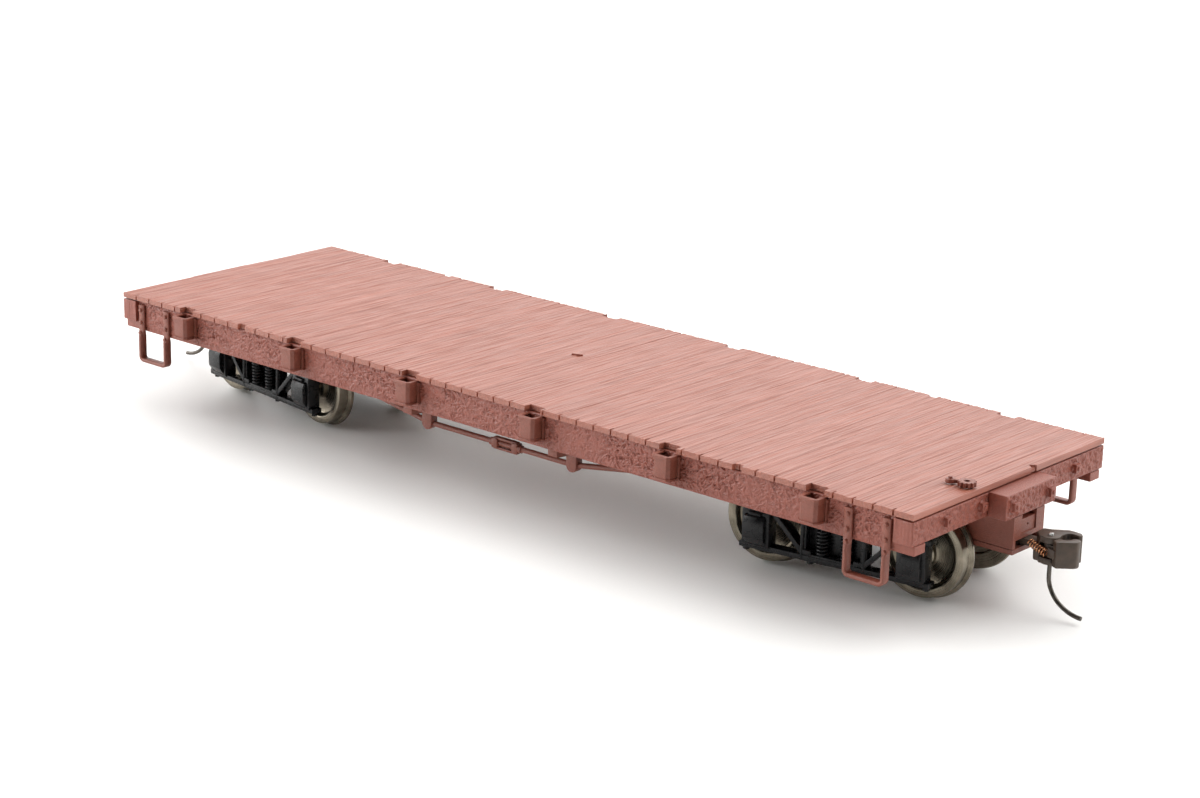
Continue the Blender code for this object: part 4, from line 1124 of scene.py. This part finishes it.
def make_couplers():
    """Coupler heads, jaws, pins and trip wires, and the coil springs that push the jaws shut."""
    pin_x, pin_y, _ = KNUCKLE_PIN
    head = coupler_shells()
    jaw = [moved(shell, x=pin_x, y=pin_y) for shell in knuckle_shells()]
    pin = [rod((pin_x, pin_y, HEAD_Z[0] + 0.2), (pin_x, pin_y, HEAD_Z[1]), 0.42, 0.4, 20, 0.1)]
    trip = [trip_wire_shell()]
    start, end = Vector((87.9, -1.75, 11.0)), Vector((91.0, -2.45, 10.35))
    along = (end - start).normalized()
    side = along.cross(Vector((0, 0, 1))).normalized()
    spring = wire(helix(start, end, side, side.cross(along), 0.52, 7), 0.11, 8)
    for letter, turn in ENDS:
        body, jaw_body = f"swing_coupler_{letter}", f"jaw_{letter}"
        plan = (
            (f"coupler_head_{letter}", head, BROWN, body, [f"coupler_{letter}"]),
            (f"knuckle_jaw_{letter}", jaw, BROWN, jaw_body, [f"knuckle_{letter}"]),
            (f"knuckle_pin_{letter}", pin, STEEL, body, []),
            (f"trip_wire_{letter}", trip, TRIP_WIRE, body, [f"trip_pin_{letter}"]),
        )
        for name, shells, material, rides, nodes in plan:
            piece(name, [turned(shell, turn) for shell in shells], material, rides, nodes)
        coil_spring = piece(f"knuckle_spring_{letter}", [turned(spring, turn)], COPPER, None)
        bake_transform(coil_spring)


# ---- floor, light and camera, in metres ----


def make_stage():
    """A wide pale floor."""
    shape = bmesh.new()
    bmesh.ops.create_circle(shape, cap_ends=True, segments=64, radius=6.0)
    mesh = bpy.data.meshes.new("floor")
    shape.to_mesh(mesh)
    shape.free()
    floor = bpy.data.objects.new("floor", mesh)
    bpy.context.scene.collection.objects.link(floor)
    nodes = Nodes(bpy.data.materials.new("pale_board"))
    tooth = nodes.noise(0.5, 3.0)
    colour = nodes.mix(tooth, (0.90, 0.90, 0.885), (0.93, 0.93, 0.915))
    mesh.materials.append(nodes.finish(colour, 0.5, nodes.bump(tooth, 0.01), {}))


def add_area_light(name, place, size, power):
    """A round soft light that faces the middle of the car."""
    light = bpy.data.lights.new(name, "AREA")
    light.shape = "DISK"
    light.size = size
    light.energy = power
    obj = bpy.data.objects.new(name, light)
    obj.location = place
    obj.rotation_euler = (-Vector(place)).to_track_quat("-Z", "Y").to_euler()
    bpy.context.scene.collection.objects.link(obj)


def make_light():
    """A room that is bright behind and dim round the camera, a low key at the left and a soft top light."""
    bright_side = Vector((-0.12, 0.93, 0.27)).normalized()
    facing_dim, facing_bright = -0.45, 0.9
    dim, bright = 0.0, 2.05
    nodes = Nodes(bpy.data.worlds.new("studio"), "Background", "Generated")
    facing = nodes.add("ShaderNodeVectorMath", {0: nodes.place, 1: bright_side}, operation="DOT_PRODUCT")
    limits = {"From Min": facing_dim, "From Max": facing_bright, "To Min": dim, "To Max": bright}
    level = nodes.add("ShaderNodeMapRange", {"Value": facing.outputs["Value"], **limits})
    inputs = {"Color": (1.0, 0.995, 0.985, 1.0), "Strength": level.outputs["Result"]}
    nodes.fill(nodes.shader, inputs)
    bpy.context.scene.world = nodes.owner
    bpy.context.scene.view_settings.view_transform = "Standard"
    add_area_light("key", (-0.66, -0.48, 0.37), 0.8, 9.0)
    add_area_light("top", (0.45, 0.3, 0.7), 1.0, 3.4)


def make_camera():
    """The photograph's viewpoint: a long lens low over end A and the near side."""
    place = Vector((0.27574, -0.31542, 0.13880))
    backward = Vector((0.62332, -0.72713, 0.28766)).normalized()
    roll = math.radians(1.498)
    level = Vector((0, 0, 1)).cross(backward).normalized()
    upright = backward.cross(level)
    right = level * math.cos(roll) + upright * math.sin(roll)
    up = upright * math.cos(roll) - level * math.sin(roll)
    data = bpy.data.cameras.new("camera")
    data.lens = 80.80
    data.sensor_width = 36.0
    data.clip_start = 0.01
    camera = bpy.data.objects.new("camera", data)
    turn = Matrix((right, up, backward)).transposed().to_4x4()
    camera.matrix_world = Matrix.Translation(place) @ turn
    bpy.context.scene.collection.objects.link(camera)
    bpy.context.scene.camera = camera


make_deck()
make_side_sills()
make_ends()
make_pockets()
make_steps()
make_brake_fittings()
make_needle_beams()
make_truss_rods()
make_plain_underframe()
make_side_frames()
make_wheelsets()
make_couplers()
make_stage()
make_light()
make_camera()
